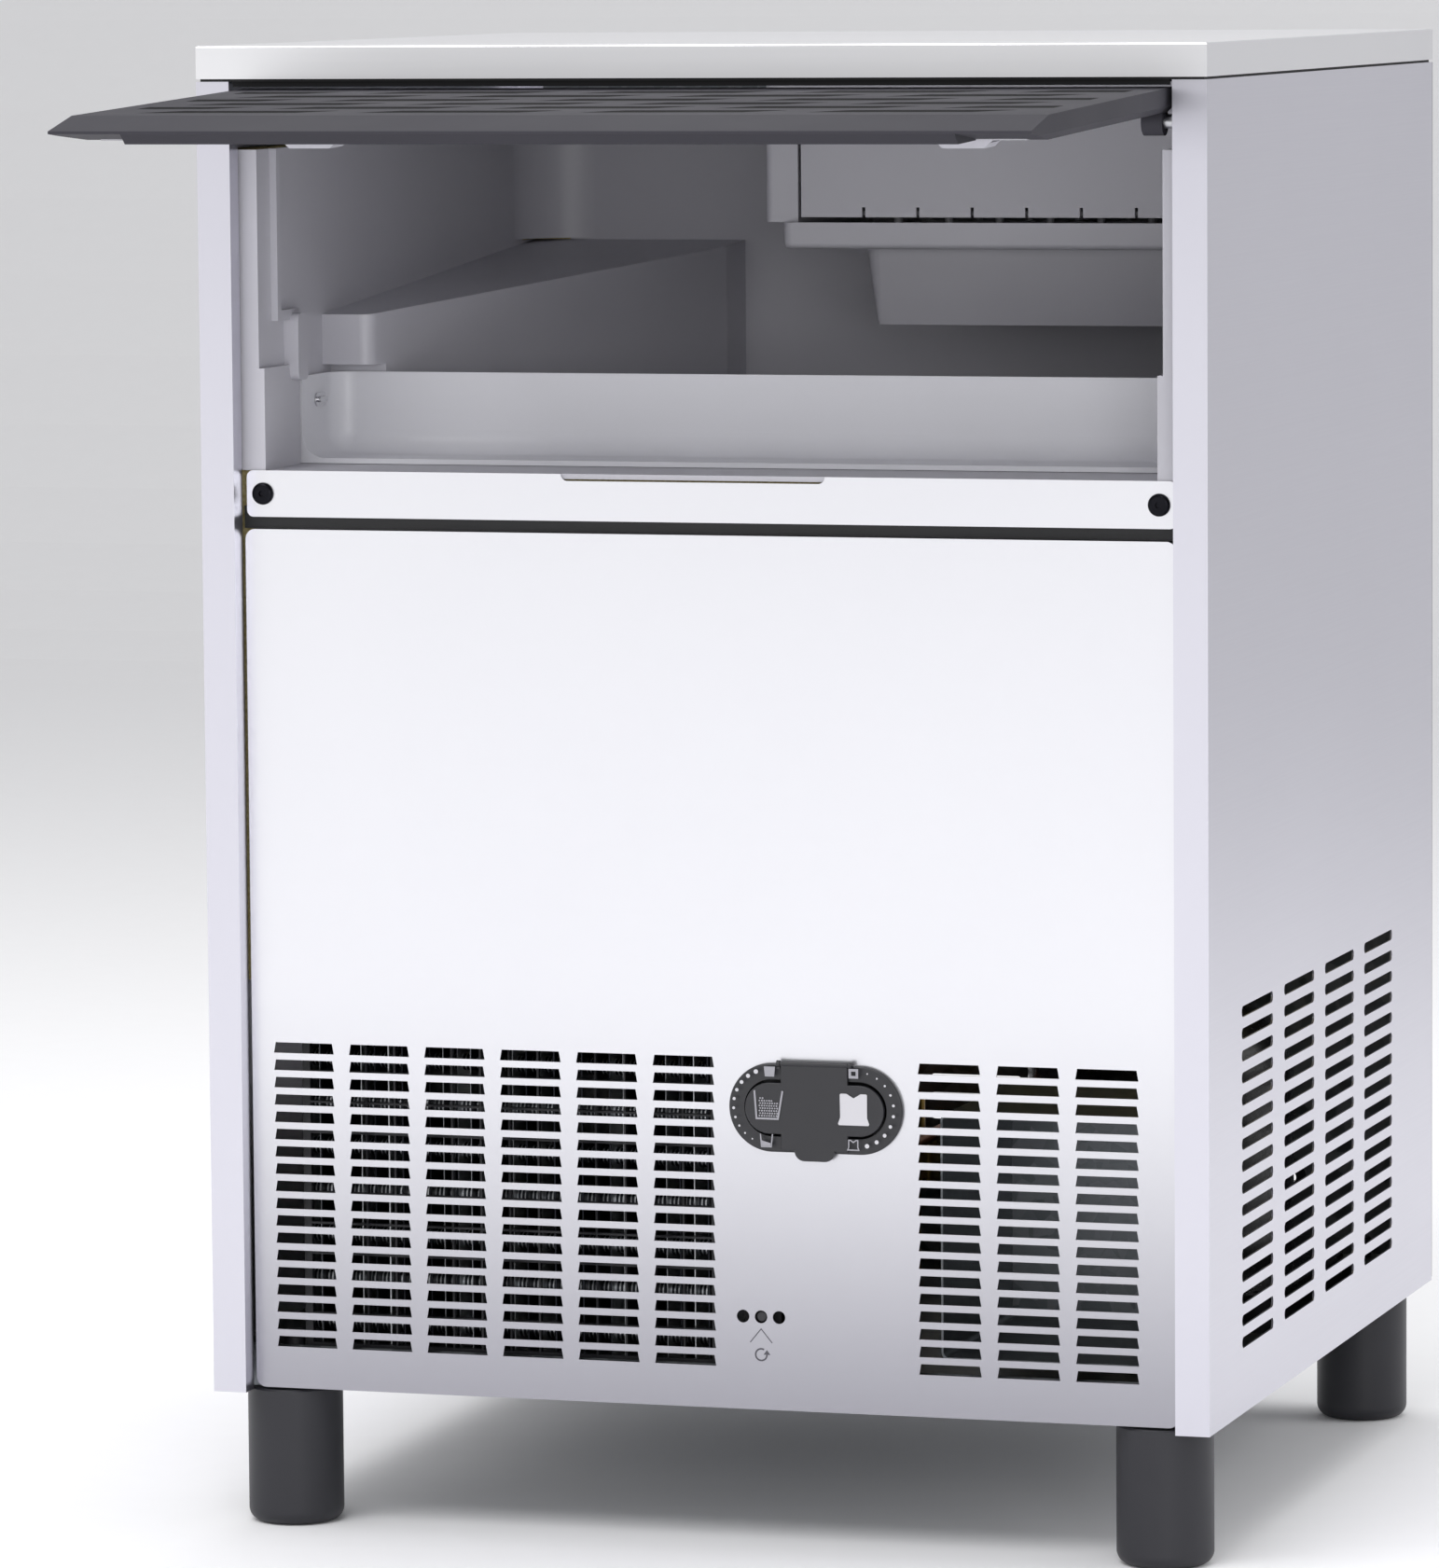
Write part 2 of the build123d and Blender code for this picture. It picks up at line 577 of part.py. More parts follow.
# foam boards round the bin: bottom, left, right, back, front and under the sill shelf
board_x = bin_half + liner_wall + board_gap
board_out_x = skin_x - gap
board_low_z = bin_floor_z - liner_wall - board_gap - board_thickness
board_back_y = bin_back_y + liner_wall + board_gap
front_board_y = bin_front_y - liner_wall - board_gap
sill_board_z = sill_z - liner_wall - board_gap
side_board_width = board_out_x - board_x
with BuildPart() as bin_insulation:
    with BuildSketch(Plane.XY.offset(board_low_z)):
        with Locations((0, (front_board_y + board_back_y) / 2)):
            Rectangle(2 * board_x - 2 * board_gap, board_back_y - front_board_y - 2 * board_gap)
    extrude(amount=board_thickness)
    with BuildSketch(Plane.XY.offset(board_low_z)):
        for side in (-1, 1):
            with Locations((side * (board_x + board_out_x) / 2, (pan_front_y + board_back_y) / 2)):
                Rectangle(side_board_width, board_back_y - pan_front_y)
    extrude(amount=liner_top_z - board_low_z)
    with BuildSketch(Plane.XY.offset(board_low_z)):
        with Locations((0, board_back_y + board_gap + board_thickness / 2)):
            Rectangle(2 * board_out_x, board_thickness)
    extrude(amount=liner_top_z - board_low_z)
    with BuildSketch(Plane.XY.offset(board_low_z)):
        with Locations((0, front_board_y - board_thickness / 2)):
            Rectangle(2 * board_x, board_thickness)
    extrude(amount=sill_board_z - board_low_z)
    with BuildSketch(Plane.XY.offset(sill_board_z)):
        with Locations((0, (pan_front_y + front_board_y) / 2)):
            Rectangle(2 * board_x, front_board_y - pan_front_y)
    extrude(amount=-board_thickness)
    with BuildSketch(Plane.XZ.offset(-pan_front_y)):
        for side in (-1, 1):
            with Locations((side * strip_screw_x, strip_screw_z)):
                Circle(strip_screw_hole)
    extrude(amount=-strip_screw_length, mode=Mode.SUBTRACT)
bin_insulation.part.label = "bin_insulation"
export_step(bin_insulation.part, "parts/bin_insulation.step")

# ---- ice baffle: a moulded tray whose back wall stands behind the sill ----------------
baffle_z = sill_z + gap
baffle_middle_y = bin_front_y - gap - baffle_foot / 2
cavity_half = bin_half - gap - baffle_thickness
with BuildPart() as baffle_cavity:
    with BuildSketch(Plane.XY.offset(baffle_z + baffle_thickness)):
        with Locations((0, baffle_middle_y - baffle_thickness)):
            Rectangle(2 * cavity_half, baffle_foot)
    extrude(amount=baffle_height)
    hollow_back = baffle_cavity.faces().sort_by(Axis.Y)[-1]
    hollow_floor = baffle_cavity.faces().sort_by(Axis.Z)[0]
    coved = [e for e in hollow_back.edges() if e.center().Z < baffle_z + baffle_height]
    coved += [e for e in hollow_floor.edges() if abs(e.center().X) > cavity_half - 1]
    fillet(coved, baffle_cove)
with BuildPart() as bin_baffle:
    with BuildSketch(Plane.XY.offset(baffle_z)):
        with Locations((0, baffle_middle_y)):
            Rectangle(2 * (bin_half - gap), baffle_foot)
    extrude(amount=baffle_height)
    add(baffle_cavity.part, mode=Mode.SUBTRACT)
bin_baffle.part.label = "bin_baffle"
export_step(bin_baffle.part, "parts/bin_baffle.step")

# spring clips that hold the baffle's wings to the side walls
clip_y = slot_y + baffle_foot / 2
clip_z = baffle_z + 36.0
clip_length = 18.0
clip_height = 8.0
clip_sheet = 1.0
with BuildPart() as baffle_clips:
    for side in (-1, 1):
        with BuildSketch(Plane.YZ.offset(side * cavity_half)):
            with Locations((clip_y, clip_z)):
                SlotOverall(clip_length, clip_height)
        extrude(amount=-side * clip_sheet)
        with BuildSketch(Plane.YZ.offset(side * (cavity_half - clip_sheet))):
            with Locations((clip_y, clip_z)):
                SlotOverall(clip_length * 0.7, clip_height * 0.4)
        extrude(amount=-side * 2 * clip_sheet)
baffle_clips.part.label = "baffle_clips"
export_step(baffle_clips.part, "parts/baffle_clips.step")

# ---- door tracks ---------------------------------------------------------------------
track_x = opening_half + sheet + 1.0
track_width = 14.0
track_height = 24.0
track_groove = 8.5
track_front_y = front_y + 2 * sheet + 4.0
track_back_y = -30.0
for name, side in (("door_track_left", -1), ("door_track_right", 1)):
    with BuildPart() as track:
        with BuildSketch(Plane.YZ.offset(side * track_x)):
            with Locations(((track_front_y + track_back_y) / 2, pin_z)):
                Rectangle(track_back_y - track_front_y, track_height)
        extrude(amount=side * track_width)
        # groove that the door pin runs in
        groove_front_y = pin_y - pin_radius - running_gap
        with BuildSketch(Plane.YZ.offset(side * track_x)):
            with Locations(((groove_front_y + track_back_y - track_height) / 2, pin_z)):
                SlotOverall(track_back_y - track_height - groove_front_y, 2 * (pin_radius + running_gap))
        extrude(amount=side * track_groove, mode=Mode.SUBTRACT)
    track.part.label = name
    export_step(track.part, "parts/" + name + ".step")

# ---- door ----------------------------------------------------------------------------
# The door lies on its own plane: x across, y towards the back, z out of its outer face.
droop = radians(door_droop)
door_plane = Plane(origin=(0, pin_y, pin_z), x_dir=(1, 0, 0), z_dir=(0, -sin(droop), cos(droop)))
door_side_plane = Plane(origin=(0, pin_y, pin_z), x_dir=(0, cos(droop), sin(droop)), z_dir=(1, 0, 0))
side_bevel = 4.0
nose_height = door_above_pin - band_drop
door_profile = [
    (door_behind_pin, door_above_pin),
    (-door_reach + band_depth, door_above_pin),
    (-door_reach, nose_height),
    (-door_reach, nose_height - nose_edge),
    (-door_reach + door_bevel, door_low),
    (door_behind_pin, door_low),
]
relief_width = 42.0  # shallow cut under both ends of the nose
relief_depth = 48.0
relief_profile = [
    (-door_reach, nose_height - nose_edge),
    (-door_reach, door_low),
    (-door_reach + relief_depth, door_low),
]
door_section = [
    (-door_half, door_above_pin),
    (door_half, door_above_pin),
    (door_half, door_low + side_bevel),
    (door_half - side_bevel, door_low),
    (-door_half + side_bevel, door_low),
    (-door_half, door_low + side_bevel),
]
door_pocket_half = door_half - 14.0
door_pocket_front = door_reach - band_depth - 6.0
door_pocket_back = 12.0
door_pocket_length = door_pocket_front - door_pocket_back
door_pocket_y = -(door_pocket_front + door_pocket_back) / 2
ear_radius = pin_radius + 4.0
ear_width = 12.0
ear_x = door_half - side_bevel - ear_width
slat_depth = 0.8
slat_width = 20.0
slat_pitch = 38.0
slat_rows = 6
slat_first = 40.0
slat_columns = 4
slat_pitch_x = 128.0
slat_length = 112.0
slat_edge = door_half - 14.0
with BuildPart() as door_panel:
    with BuildSketch(door_side_plane.offset(-door_half)):
        with BuildLine():
            Polyline(*door_profile, close=True)
        make_face()
    extrude(amount=2 * door_half)
    with BuildSketch(Plane(door_plane.origin, x_dir=(1, 0, 0), z_dir=-door_plane.y_dir)):
        with BuildLine():
            Polyline(*door_section, close=True)
        make_face()
    extrude(amount=2 * door_reach, both=True, mode=Mode.INTERSECT)
    for side in (-1, 1):
        with BuildSketch(door_side_plane.offset(side * (door_half - relief_width))):
            with BuildLine():
                Polyline(*relief_profile, close=True)
            make_face()
        extrude(amount=side * relief_width, mode=Mode.SUBTRACT)
    for side in (-1, 1):
        with BuildSketch(door_side_plane.offset(side * ear_x)):
            Circle(ear_radius)
        extrude(amount=side * ear_width)
        with BuildSketch(door_side_plane.offset(side * (ear_x - 1))):
            Circle(pin_radius)
        extrude(amount=side * (ear_width + side_bevel + 2), mode=Mode.SUBTRACT)
    with BuildSketch(door_plane.offset(door_low)):
        with Locations((0, door_pocket_y)):
            Rectangle(2 * door_pocket_half, door_pocket_length)
    extrude(amount=door_thickness - door_skin, mode=Mode.SUBTRACT)
    # rows of shallow slats with slanted ends, every other row shifted
    with BuildSketch(door_plane.offset(door_above_pin)):
        for row in range(slat_rows):
            shift = slat_pitch_x / 2 if row % 2 else 0
            slat_low = -slat_first - row * slat_pitch - slat_width / 2
            slat_high = slat_low + slat_width
            for column in range(-slat_columns, slat_columns + 1):
                slat_left = column * slat_pitch_x + shift - slat_length / 2
                slat_right = slat_left + slat_length
                with BuildLine():
                    Polyline(
                        (slat_left, slat_low),
                        (slat_right - slat_width, slat_low),
                        (slat_right, slat_high),
                        (slat_left + slat_width, slat_high),
                        close=True,
                    )
                make_face()
        Rectangle(2 * slat_edge, 3 * door_reach, mode=Mode.INTERSECT)
    extrude(amount=-slat_depth, mode=Mode.SUBTRACT)
door_panel.part.label = "door_panel"
export_step(door_panel.part, "parts/door_panel.step")

with BuildPart() as door_pins:
    for side in (-1, 1):
        with BuildSketch(door_side_plane.offset(side * ear_x)):
            Circle(pin_radius)
        extrude(amount=side * (track_x + track_groove - gap - ear_x))
door_pins.part.label = "door_pins"
export_step(door_pins.part, "parts/door_pins.step")

inner_skin = 2.5
with BuildPart() as door_liner:
    with BuildSketch(door_plane.offset(door_low)):
        with Locations((0, door_pocket_y)):
            Rectangle(2 * (door_pocket_half - gap), door_pocket_length - 2 * gap)
    extrude(amount=inner_skin)
    # raised rim that stiffens the liner
    with BuildSketch(door_plane.offset(door_low + inner_skin)):
        with Locations((0, door_pocket_y)):
            Rectangle(2 * (door_pocket_half - gap), door_pocket_length - 2 * gap)
            inner = 2 * (gap + inner_skin)
            Rectangle(2 * door_pocket_half - inner, door_pocket_length - inner, mode=Mode.SUBTRACT)
    extrude(amount=door_thickness - door_skin - inner_skin - gap)
door_liner.part.label = "door_liner"
export_step(door_liner.part, "parts/door_liner.step")

with BuildPart() as door_foam:
    with BuildSketch(door_plane.offset(door_low + inner_skin)):
        with Locations((0, door_pocket_y)):
            Rectangle(2 * door_pocket_half - inner, door_pocket_length - inner)
    extrude(amount=door_thickness - door_skin - inner_skin - gap)
door_foam.part.label = "door_foam"
export_step(door_foam.part, "parts/door_foam.step")

hook_x = 190.0
hook_length = 42.0
hook_width = 22.0
hook_height = 12.0
hook_from_pin = 122.0
hook_wall = 2.0
with BuildPart() as door_hooks:
    hook_middle = door_plane.from_local_coords((0, -hook_from_pin, 0))
    with BuildSketch(Plane(hook_middle, x_dir=(1, 0, 0), z_dir=-door_plane.y_dir)):
        for side in (-1, 1):
            with BuildLine():
                Polyline(
                    (side * hook_x - hook_length / 2, door_low),
                    (side * hook_x + hook_length / 2, door_low),
                    (side * hook_x + hook_length / 2, door_low - hook_height / 2),
                    (side * hook_x + hook_length / 2 - hook_height / 2, door_low - hook_height),
                    (side * hook_x - hook_length / 2 + hook_height, door_low - hook_height),
                    close=True,
                )
            make_face()
    extrude(amount=hook_width / 2, both=True)
    # hollow right end
    with BuildSketch(door_side_plane.offset(hook_x + hook_length / 2)):
        with Locations((-hook_from_pin, door_low - hook_height / 2)):
            Rectangle(hook_width - 2 * hook_wall, hook_height - 3 * hook_wall)
    extrude(amount=-hook_length / 3, mode=Mode.SUBTRACT)
    with BuildSketch(door_side_plane.offset(-hook_x + hook_length / 2)):
        with Locations((-hook_from_pin, door_low - hook_height / 2)):
            Rectangle(hook_width - 2 * hook_wall, hook_height - 3 * hook_wall)
    extrude(amount=-hook_length / 3, mode=Mode.SUBTRACT)
door_hooks.part.label = "door_hooks"
export_step(door_hooks.part, "parts/door_hooks.step")

# ---- ice making unit -----------------------------------------------------------------
corner_gap = bin_corner * 0.3 + gap  # lets the square housing stand in the rounded corner
unit_right_x = bin_half - corner_gap
unit_back_y = bin_back_y - corner_gap
unit_height = unit_top_z - unit_low_z
unit_round = 5.0
unit_middle_x = (unit_left_x + unit_right_x) / 2
unit_middle_y = (unit_front_y + unit_back_y) / 2
window_left_x = unit_left_x + post_width
window_right_x = unit_right_x - unit_wall - unit_round
window_top_z = unit_top_z - 18.0
hanger_sheet = 3.0
with BuildPart() as unit_housing:
    with BuildSketch(Plane.XY.offset(unit_low_z)):
        with Locations((unit_middle_x, unit_middle_y)):
            RectangleRounded(unit_right_x - unit_left_x, unit_back_y - unit_front_y, unit_round)
    extrude(amount=unit_height)
    with BuildSketch(Plane.XY.offset(unit_low_z)):
        with Locations(((window_left_x + window_right_x) / 2, unit_middle_y)):
            Rectangle(window_right_x - window_left_x, unit_back_y - unit_front_y - 2 * unit_wall)
    extrude(amount=unit_height - unit_wall, mode=Mode.SUBTRACT)
    with BuildSketch(Plane.XZ.offset(-unit_front_y)):
        with Locations(((window_left_x + window_right_x) / 2, (unit_low_z + window_top_z) / 2)):
            Rectangle(window_right_x - window_left_x, window_top_z - unit_low_z)
    extrude(amount=-unit_wall, mode=Mode.SUBTRACT)
    # hanger lips that rest on the liner's back and right rims
    with BuildSketch(Plane.XY.offset(liner_top_z)):
        with Locations((unit_middle_x, (unit_back_y + bin_back_y + liner_wall) / 2)):
            Rectangle((unit_right_x - unit_left_x) / 2, bin_back_y + liner_wall - unit_back_y)
        with Locations(((unit_right_x + bin_half + liner_wall) / 2, unit_middle_y)):
            Rectangle(bin_half + liner_wall - unit_right_x, (unit_back_y - unit_front_y) / 2)
    extrude(amount=hanger_sheet)
unit_housing.part.label = "unit_housing"
export_step(unit_housing.part, "parts/unit_housing.step")

# curtain that the ice pushes open, hung on a rod across the window
rod_radius = 2.0
rod_z = window_top_z - 5.0
rod_y = unit_front_y + 4.0
curtain_gap = 2.0
curtain_thickness = 2.0
curtain_low_z = unit_low_z + 3.0
curtain_notch_pitch = 34.0
curtain_notches = 7
curtain_width = window_right_x - window_left_x - 2 * curtain_gap
curtain_middle_x = (window_left_x + window_right_x) / 2
with BuildPart() as curtain_rod:
    with BuildSketch(Plane.YZ.offset(window_left_x)):
        with Locations((rod_y, rod_z)):
            Circle(rod_radius)
    extrude(amount=window_right_x - window_left_x)
curtain_rod.part.label = "curtain_rod"
export_step(curtain_rod.part, "parts/curtain_rod.step")

with BuildPart() as ice_curtain:
    with BuildSketch(Plane.YZ.offset(curtain_middle_x - curtain_width / 2)):
        with Locations((rod_y, rod_z)):
            Circle(rod_radius + 2.0)
        with Locations((rod_y - rod_radius - curtain_thickness / 2, (rod_z + curtain_low_z) / 2)):
            Rectangle(curtain_thickness, rod_z - curtain_low_z)
        with Locations((rod_y, rod_z)):
            Circle(rod_radius + running_gap, mode=Mode.SUBTRACT)
    extrude(amount=curtain_width)
    with BuildSketch(Plane.XZ.offset(-rod_y)):
        with Locations((curtain_middle_x, curtain_low_z)):
            with GridLocations(curtain_notch_pitch, 1, curtain_notches, 1):
                Rectangle(curtain_gap, 12.0)
    extrude(amount=3 * rod_radius, mode=Mode.SUBTRACT)
ice_curtain.part.label = "ice_curtain"
export_step(ice_curtain.part, "parts/ice_curtain.step")

# evaporator: a plate of upside-down cups with the refrigerant coil on top
cup_pitch = 36.0
cup_columns = 6
cup_rows = 4
cup_radius = 15.0
cup_wall = 1.0
cup_height = 24.0
plate_thickness = 2.0
plate_z = unit_top_z - 14.0
evaporator_x = unit_left_x + 148.0
evaporator_y = unit_front_y + 98.0
with BuildPart() as evaporator:
    with BuildSketch(Plane.XY.offset(plate_z)):
        with Locations((evaporator_x, evaporator_y)):
            Rectangle(cup_columns * cup_pitch, cup_rows * cup_pitch)
    extrude(amount=plate_thickness)
    with BuildSketch(Plane.XY.offset(plate_z)):
        with Locations((evaporator_x, evaporator_y)):
            with GridLocations(cup_pitch, cup_pitch, cup_columns, cup_rows):
                Circle(cup_radius)
    extrude(amount=-cup_height, taper=-3)
    with BuildSketch(Plane.XY.offset(plate_z)):
        with Locations((evaporator_x, evaporator_y)):
            with GridLocations(cup_pitch, cup_pitch, cup_columns, cup_rows):
                Circle(cup_radius - cup_wall)
    extrude(amount=-cup_height, taper=-3, mode=Mode.SUBTRACT)
evaporator.part.label = "evaporator"
export_step(evaporator.part, "parts/evaporator.step")

coil_radius = 3.2
coil_bend = cup_pitch / 2 - 0.01
coil_z = plate_z + plate_thickness + coil_radius
coil_half = cup_columns * cup_pitch / 2 - 6.0
coil_points = []
for row in range(cup_rows):
    ends = (-coil_half, coil_half) if row % 2 == 0 else (coil_half, -coil_half)
    for end in ends:
        coil_y = evaporator_y + (row - (cup_rows - 1) / 2) * cup_pitch
        coil_points.append((evaporator_x + end, coil_y, coil_z))
with BuildPart() as evaporator_coil:
    with BuildLine() as coil_path:
        FilletPolyline(*coil_points, radius=coil_bend)
    with BuildSketch(Plane(coil_points[0], z_dir=(1, 0, 0))):
        Circle(coil_radius)
    sweep()
evaporator_coil.part.label = "evaporator_coil"
export_step(evaporator_coil.part, "parts/evaporator_coil.step")

# slotted chute that lets the spray up and the cubes slide down to the curtain
chute_thickness = 2.5
chute_front_y = unit_front_y + unit_wall + rod_radius + 4.0
chute_back_y = unit_back_y - unit_wall - 1.0
chute_front_z = unit_low_z + 4.0
chute_back_z = unit_low_z + 34.0
chute_slot = 16.0
chute_right_x = evaporator_x + 106.0
chute_profile = [
    (chute_front_y, chute_front_z),
    (chute_back_y, chute_back_z),
    (chute_back_y, chute_back_z + chute_thickness),
    (chute_front_y, chute_front_z + chute_thickness),
]
with BuildPart() as ice_chute:
    with BuildSketch(Plane.YZ.offset(window_left_x + 1.0)):
        with BuildLine():
            Polyline(*chute_profile, close=True)
        make_face()
    extrude(amount=chute_right_x - window_left_x - 1.0)
    with BuildSketch(Plane.XY.offset(chute_front_z)):
        with Locations((evaporator_x, evaporator_y)):
            with GridLocations(chute_slot * 2, 1, cup_columns, 1):
                SlotOverall(cup_rows * cup_pitch - chute_slot, chute_slot / 2, rotation=90)
    extrude(amount=chute_back_z, mode=Mode.SUBTRACT)
ice_chute.part.label = "ice_chute"
export_step(ice_chute.part, "parts/ice_chute.step")

# water tank below: a flared rim that catches the drips and a deep trough
rim_left_x = unit_left_x + 13.0
rim_right_x = unit_right_x - 2.0
rim_front_y = unit_front_y - 8.0
rim_back_y = unit_back_y - 4.0
tank_right_x = unit_right_x - 6.0
tank_front_y = unit_front_y + 20.0
tank_back_y = unit_back_y - 25.0
tank_wall = 2.5
tank_draft = 8.0  # degrees, sides of the trough
tank_round = 10.0
rim_round = 6.0
with BuildPart() as water_tank:
    with BuildSketch(Plane.XY.offset(rim_low_z)):
        with Locations(((rim_left_x + rim_right_x) / 2, (rim_front_y + rim_back_y) / 2)):
            RectangleRounded(rim_right_x - rim_left_x, rim_back_y - rim_front_y, rim_round)
    extrude(amount=rim_height)
    fillet(water_tank.faces().sort_by(Axis.Z)[0].edges(), rim_round - tank_wall)
    with BuildSketch(Plane.XY.offset(rim_low_z + tank_wall)):
        with Locations(((rim_left_x + rim_right_x) / 2, (rim_front_y + rim_back_y) / 2)):
            inner_length = rim_right_x - rim_left_x - 2 * tank_wall
            RectangleRounded(inner_length, rim_back_y - rim_front_y - 2 * tank_wall, rim_round - tank_wall)
    extrude(amount=rim_height, mode=Mode.SUBTRACT)
    with BuildSketch(Plane.XY.offset(rim_low_z + tank_wall / 2)):
        with Locations(((tank_left_x + tank_right_x) / 2, (tank_front_y + tank_back_y) / 2)):
            RectangleRounded(tank_right_x - tank_left_x, tank_back_y - tank_front_y, tank_round)
    extrude(amount=-tank_depth - tank_wall / 2, taper=tank_draft)
    with BuildSketch(Plane.XY.offset(rim_low_z + tank_wall)):
        with Locations(((tank_left_x + tank_right_x) / 2, (tank_front_y + tank_back_y) / 2)):
            trough_length = tank_right_x - tank_left_x - 2 * tank_wall
            trough_width = tank_back_y - tank_front_y - 2 * tank_wall
            RectangleRounded(trough_length, trough_width, tank_round - tank_wall)
    extrude(amount=-tank_depth, taper=tank_draft, mode=Mode.SUBTRACT)
water_tank.part.label = "water_tank"
export_step(water_tank.part, "parts/water_tank.step")

# spray bar: two pipes and a cross pipe, with nozzles under the chute's slots
bar_radius = 5.0
bar_z = rim_low_z + tank_wall + bar_radius + 1.0
bar_left_x = tank_left_x + 8.0
bar_right_x = tank_right_x - 65.0
bar_y = evaporator_y - 8.0
bar_half_spread = 34.0
nozzle_radius = 2.5
nozzle_height = 9.0
nozzle_pitch = 32.0
nozzle_count = 6
feed_x = bar_right_x - bar_radius
with BuildPart() as spray_bar:
    with BuildSketch(Plane.YZ.offset(bar_left_x)):
        for side in (-1, 1):
            with Locations((bar_y + side * bar_half_spread, bar_z)):
                Circle(bar_radius)
    extrude(amount=bar_right_x - bar_left_x)
    with BuildSketch(Plane.XZ.offset(-bar_y)):
        with Locations((feed_x, bar_z)):
            Circle(bar_radius - gap)
    extrude(amount=bar_half_spread, both=True)
    with BuildSketch(Plane.XY.offset(bar_z)):
        with Locations((evaporator_x, bar_y)):
            with GridLocations(nozzle_pitch, 2 * bar_half_spread, nozzle_count, 2):
                Circle(nozzle_radius)
    extrude(amount=nozzle_height)
spray_bar.part.label = "spray_bar"
export_step(spray_bar.part, "parts/spray_bar.step")

pump_y = bar_y
volute_radius = 18.0
pump_x = tank_right_x - tank_wall - tank_depth * tan(radians(tank_draft)) - volute_radius - 2.0
volute_z = tank_low_z + tank_wall + 1.0
volute_height = 18.0
pump_motor_radius = 21.0
pump_motor_z = unit_low_z + 6.0
pump_motor_height = 52.0
with BuildPart() as water_pump:
    with BuildSketch(Plane.XY.offset(volute_z)):
        with Locations((pump_x, pump_y)):
            Circle(volute_radius)
    extrude(amount=volute_height)
    with BuildSketch(Plane.XY.offset(volute_z + volute_height)):
        with Locations((pump_x, pump_y)):
            Circle(volute_radius / 2)
    extrude(amount=pump_motor_z - volute_z - volute_height)
    with BuildSketch(Plane.XY.offset(pump_motor_z)):
        with Locations((pump_x, pump_y)):
            Circle(pump_motor_radius)
    extrude(amount=pump_motor_height)
    fillet(water_pump.edges().filter_by(GeomType.CIRCLE).sort_by(Axis.Z)[-1], 4)
    # arm that holds the pump on the housing's right wall
    with BuildSketch(Plane.XY.offset(pump_motor_z)):
        with Locations(((pump_x + window_right_x) / 2, pump_y)):
            Rectangle(window_right_x - pump_x, pump_motor_radius)
    extrude(amount=4.0)
water_pump.part.label = "water_pump"
export_step(water_pump.part, "parts/water_pump.step")

hose_radius = 4.0
hose_z = volute_z + volute_height / 2
with BuildPart() as pump_hose:
    with BuildLine():
        FilletPolyline(
            (pump_x - volute_radius, pump_y, hose_z),
            (feed_x, pump_y, hose_z),
            (feed_x, pump_y, bar_z - bar_radius + gap),
            radius=12,
        )
    with BuildSketch(Plane((pump_x - volute_radius, pump_y, hose_z), z_dir=(-1, 0, 0))):
        Circle(hose_radius)
    sweep()
pump_hose.part.label = "pump_hose"
export_step(pump_hose.part, "parts/pump_hose.step")

# ---- refrigeration in the machine space ----------------------------------------------
space_floor_z = pan_z + sheet
compressor_x = half_width - 140.0
compressor_y = back_y - 140.0
compressor_radius = 82.0
compressor_height = 168.0
mount_height = 20.0
mount_radius = 13.0
mount_half = 82.0
plate_height = 3.0
plate_half = 96.0
compressor_z = space_floor_z + mount_height + plate_height
with BuildPart() as compressor_mounts:
    with BuildSketch(Plane.XY.offset(space_floor_z)):
        with Locations((compressor_x, compressor_y)):
            with GridLocations(2 * mount_half, 2 * mount_half, 2, 2):
                Circle(mount_radius)
                Circle(4.0, mode=Mode.SUBTRACT)
    extrude(amount=mount_height)
compressor_mounts.part.label = "compressor_mounts"
export_step(compressor_mounts.part, "parts/compressor_mounts.step")

with BuildPart() as compressor:
    with BuildSketch(Plane.XY.offset(compressor_z - plate_height)):
        with Locations((compressor_x, compressor_y)):
            RectangleRounded(2 * plate_half, 2 * plate_half, 14)
            with GridLocations(2 * mount_half, 2 * mount_half, 2, 2):
                Circle(4.0, mode=Mode.SUBTRACT)
    extrude(amount=plate_height)
    with BuildSketch(Plane.XY.offset(compressor_z)):
        with Locations((compressor_x, compressor_y)):
            Circle(compressor_radius)
    extrude(amount=compressor_height)
    fillet(compressor.edges().filter_by(GeomType.CIRCLE).sort_by(Axis.Z)[-1], 48)
    # welded seam round the shell
    with BuildSketch(Plane.XY.offset(compressor_z + compressor_height * 0.55)):
        with Locations((compressor_x, compressor_y)):
            Circle(compressor_radius + 3)
    extrude(amount=5)
    # terminal cover
    with BuildSketch(Plane.YZ.offset(compressor_x - compressor_radius - 14)):
        with Locations((compressor_y, compressor_z + 60)):
            RectangleRounded(60, 52, 6)
    extrude(amount=40)
compressor.part.label = "compressor"
export_step(compressor.part, "parts/compressor.step")

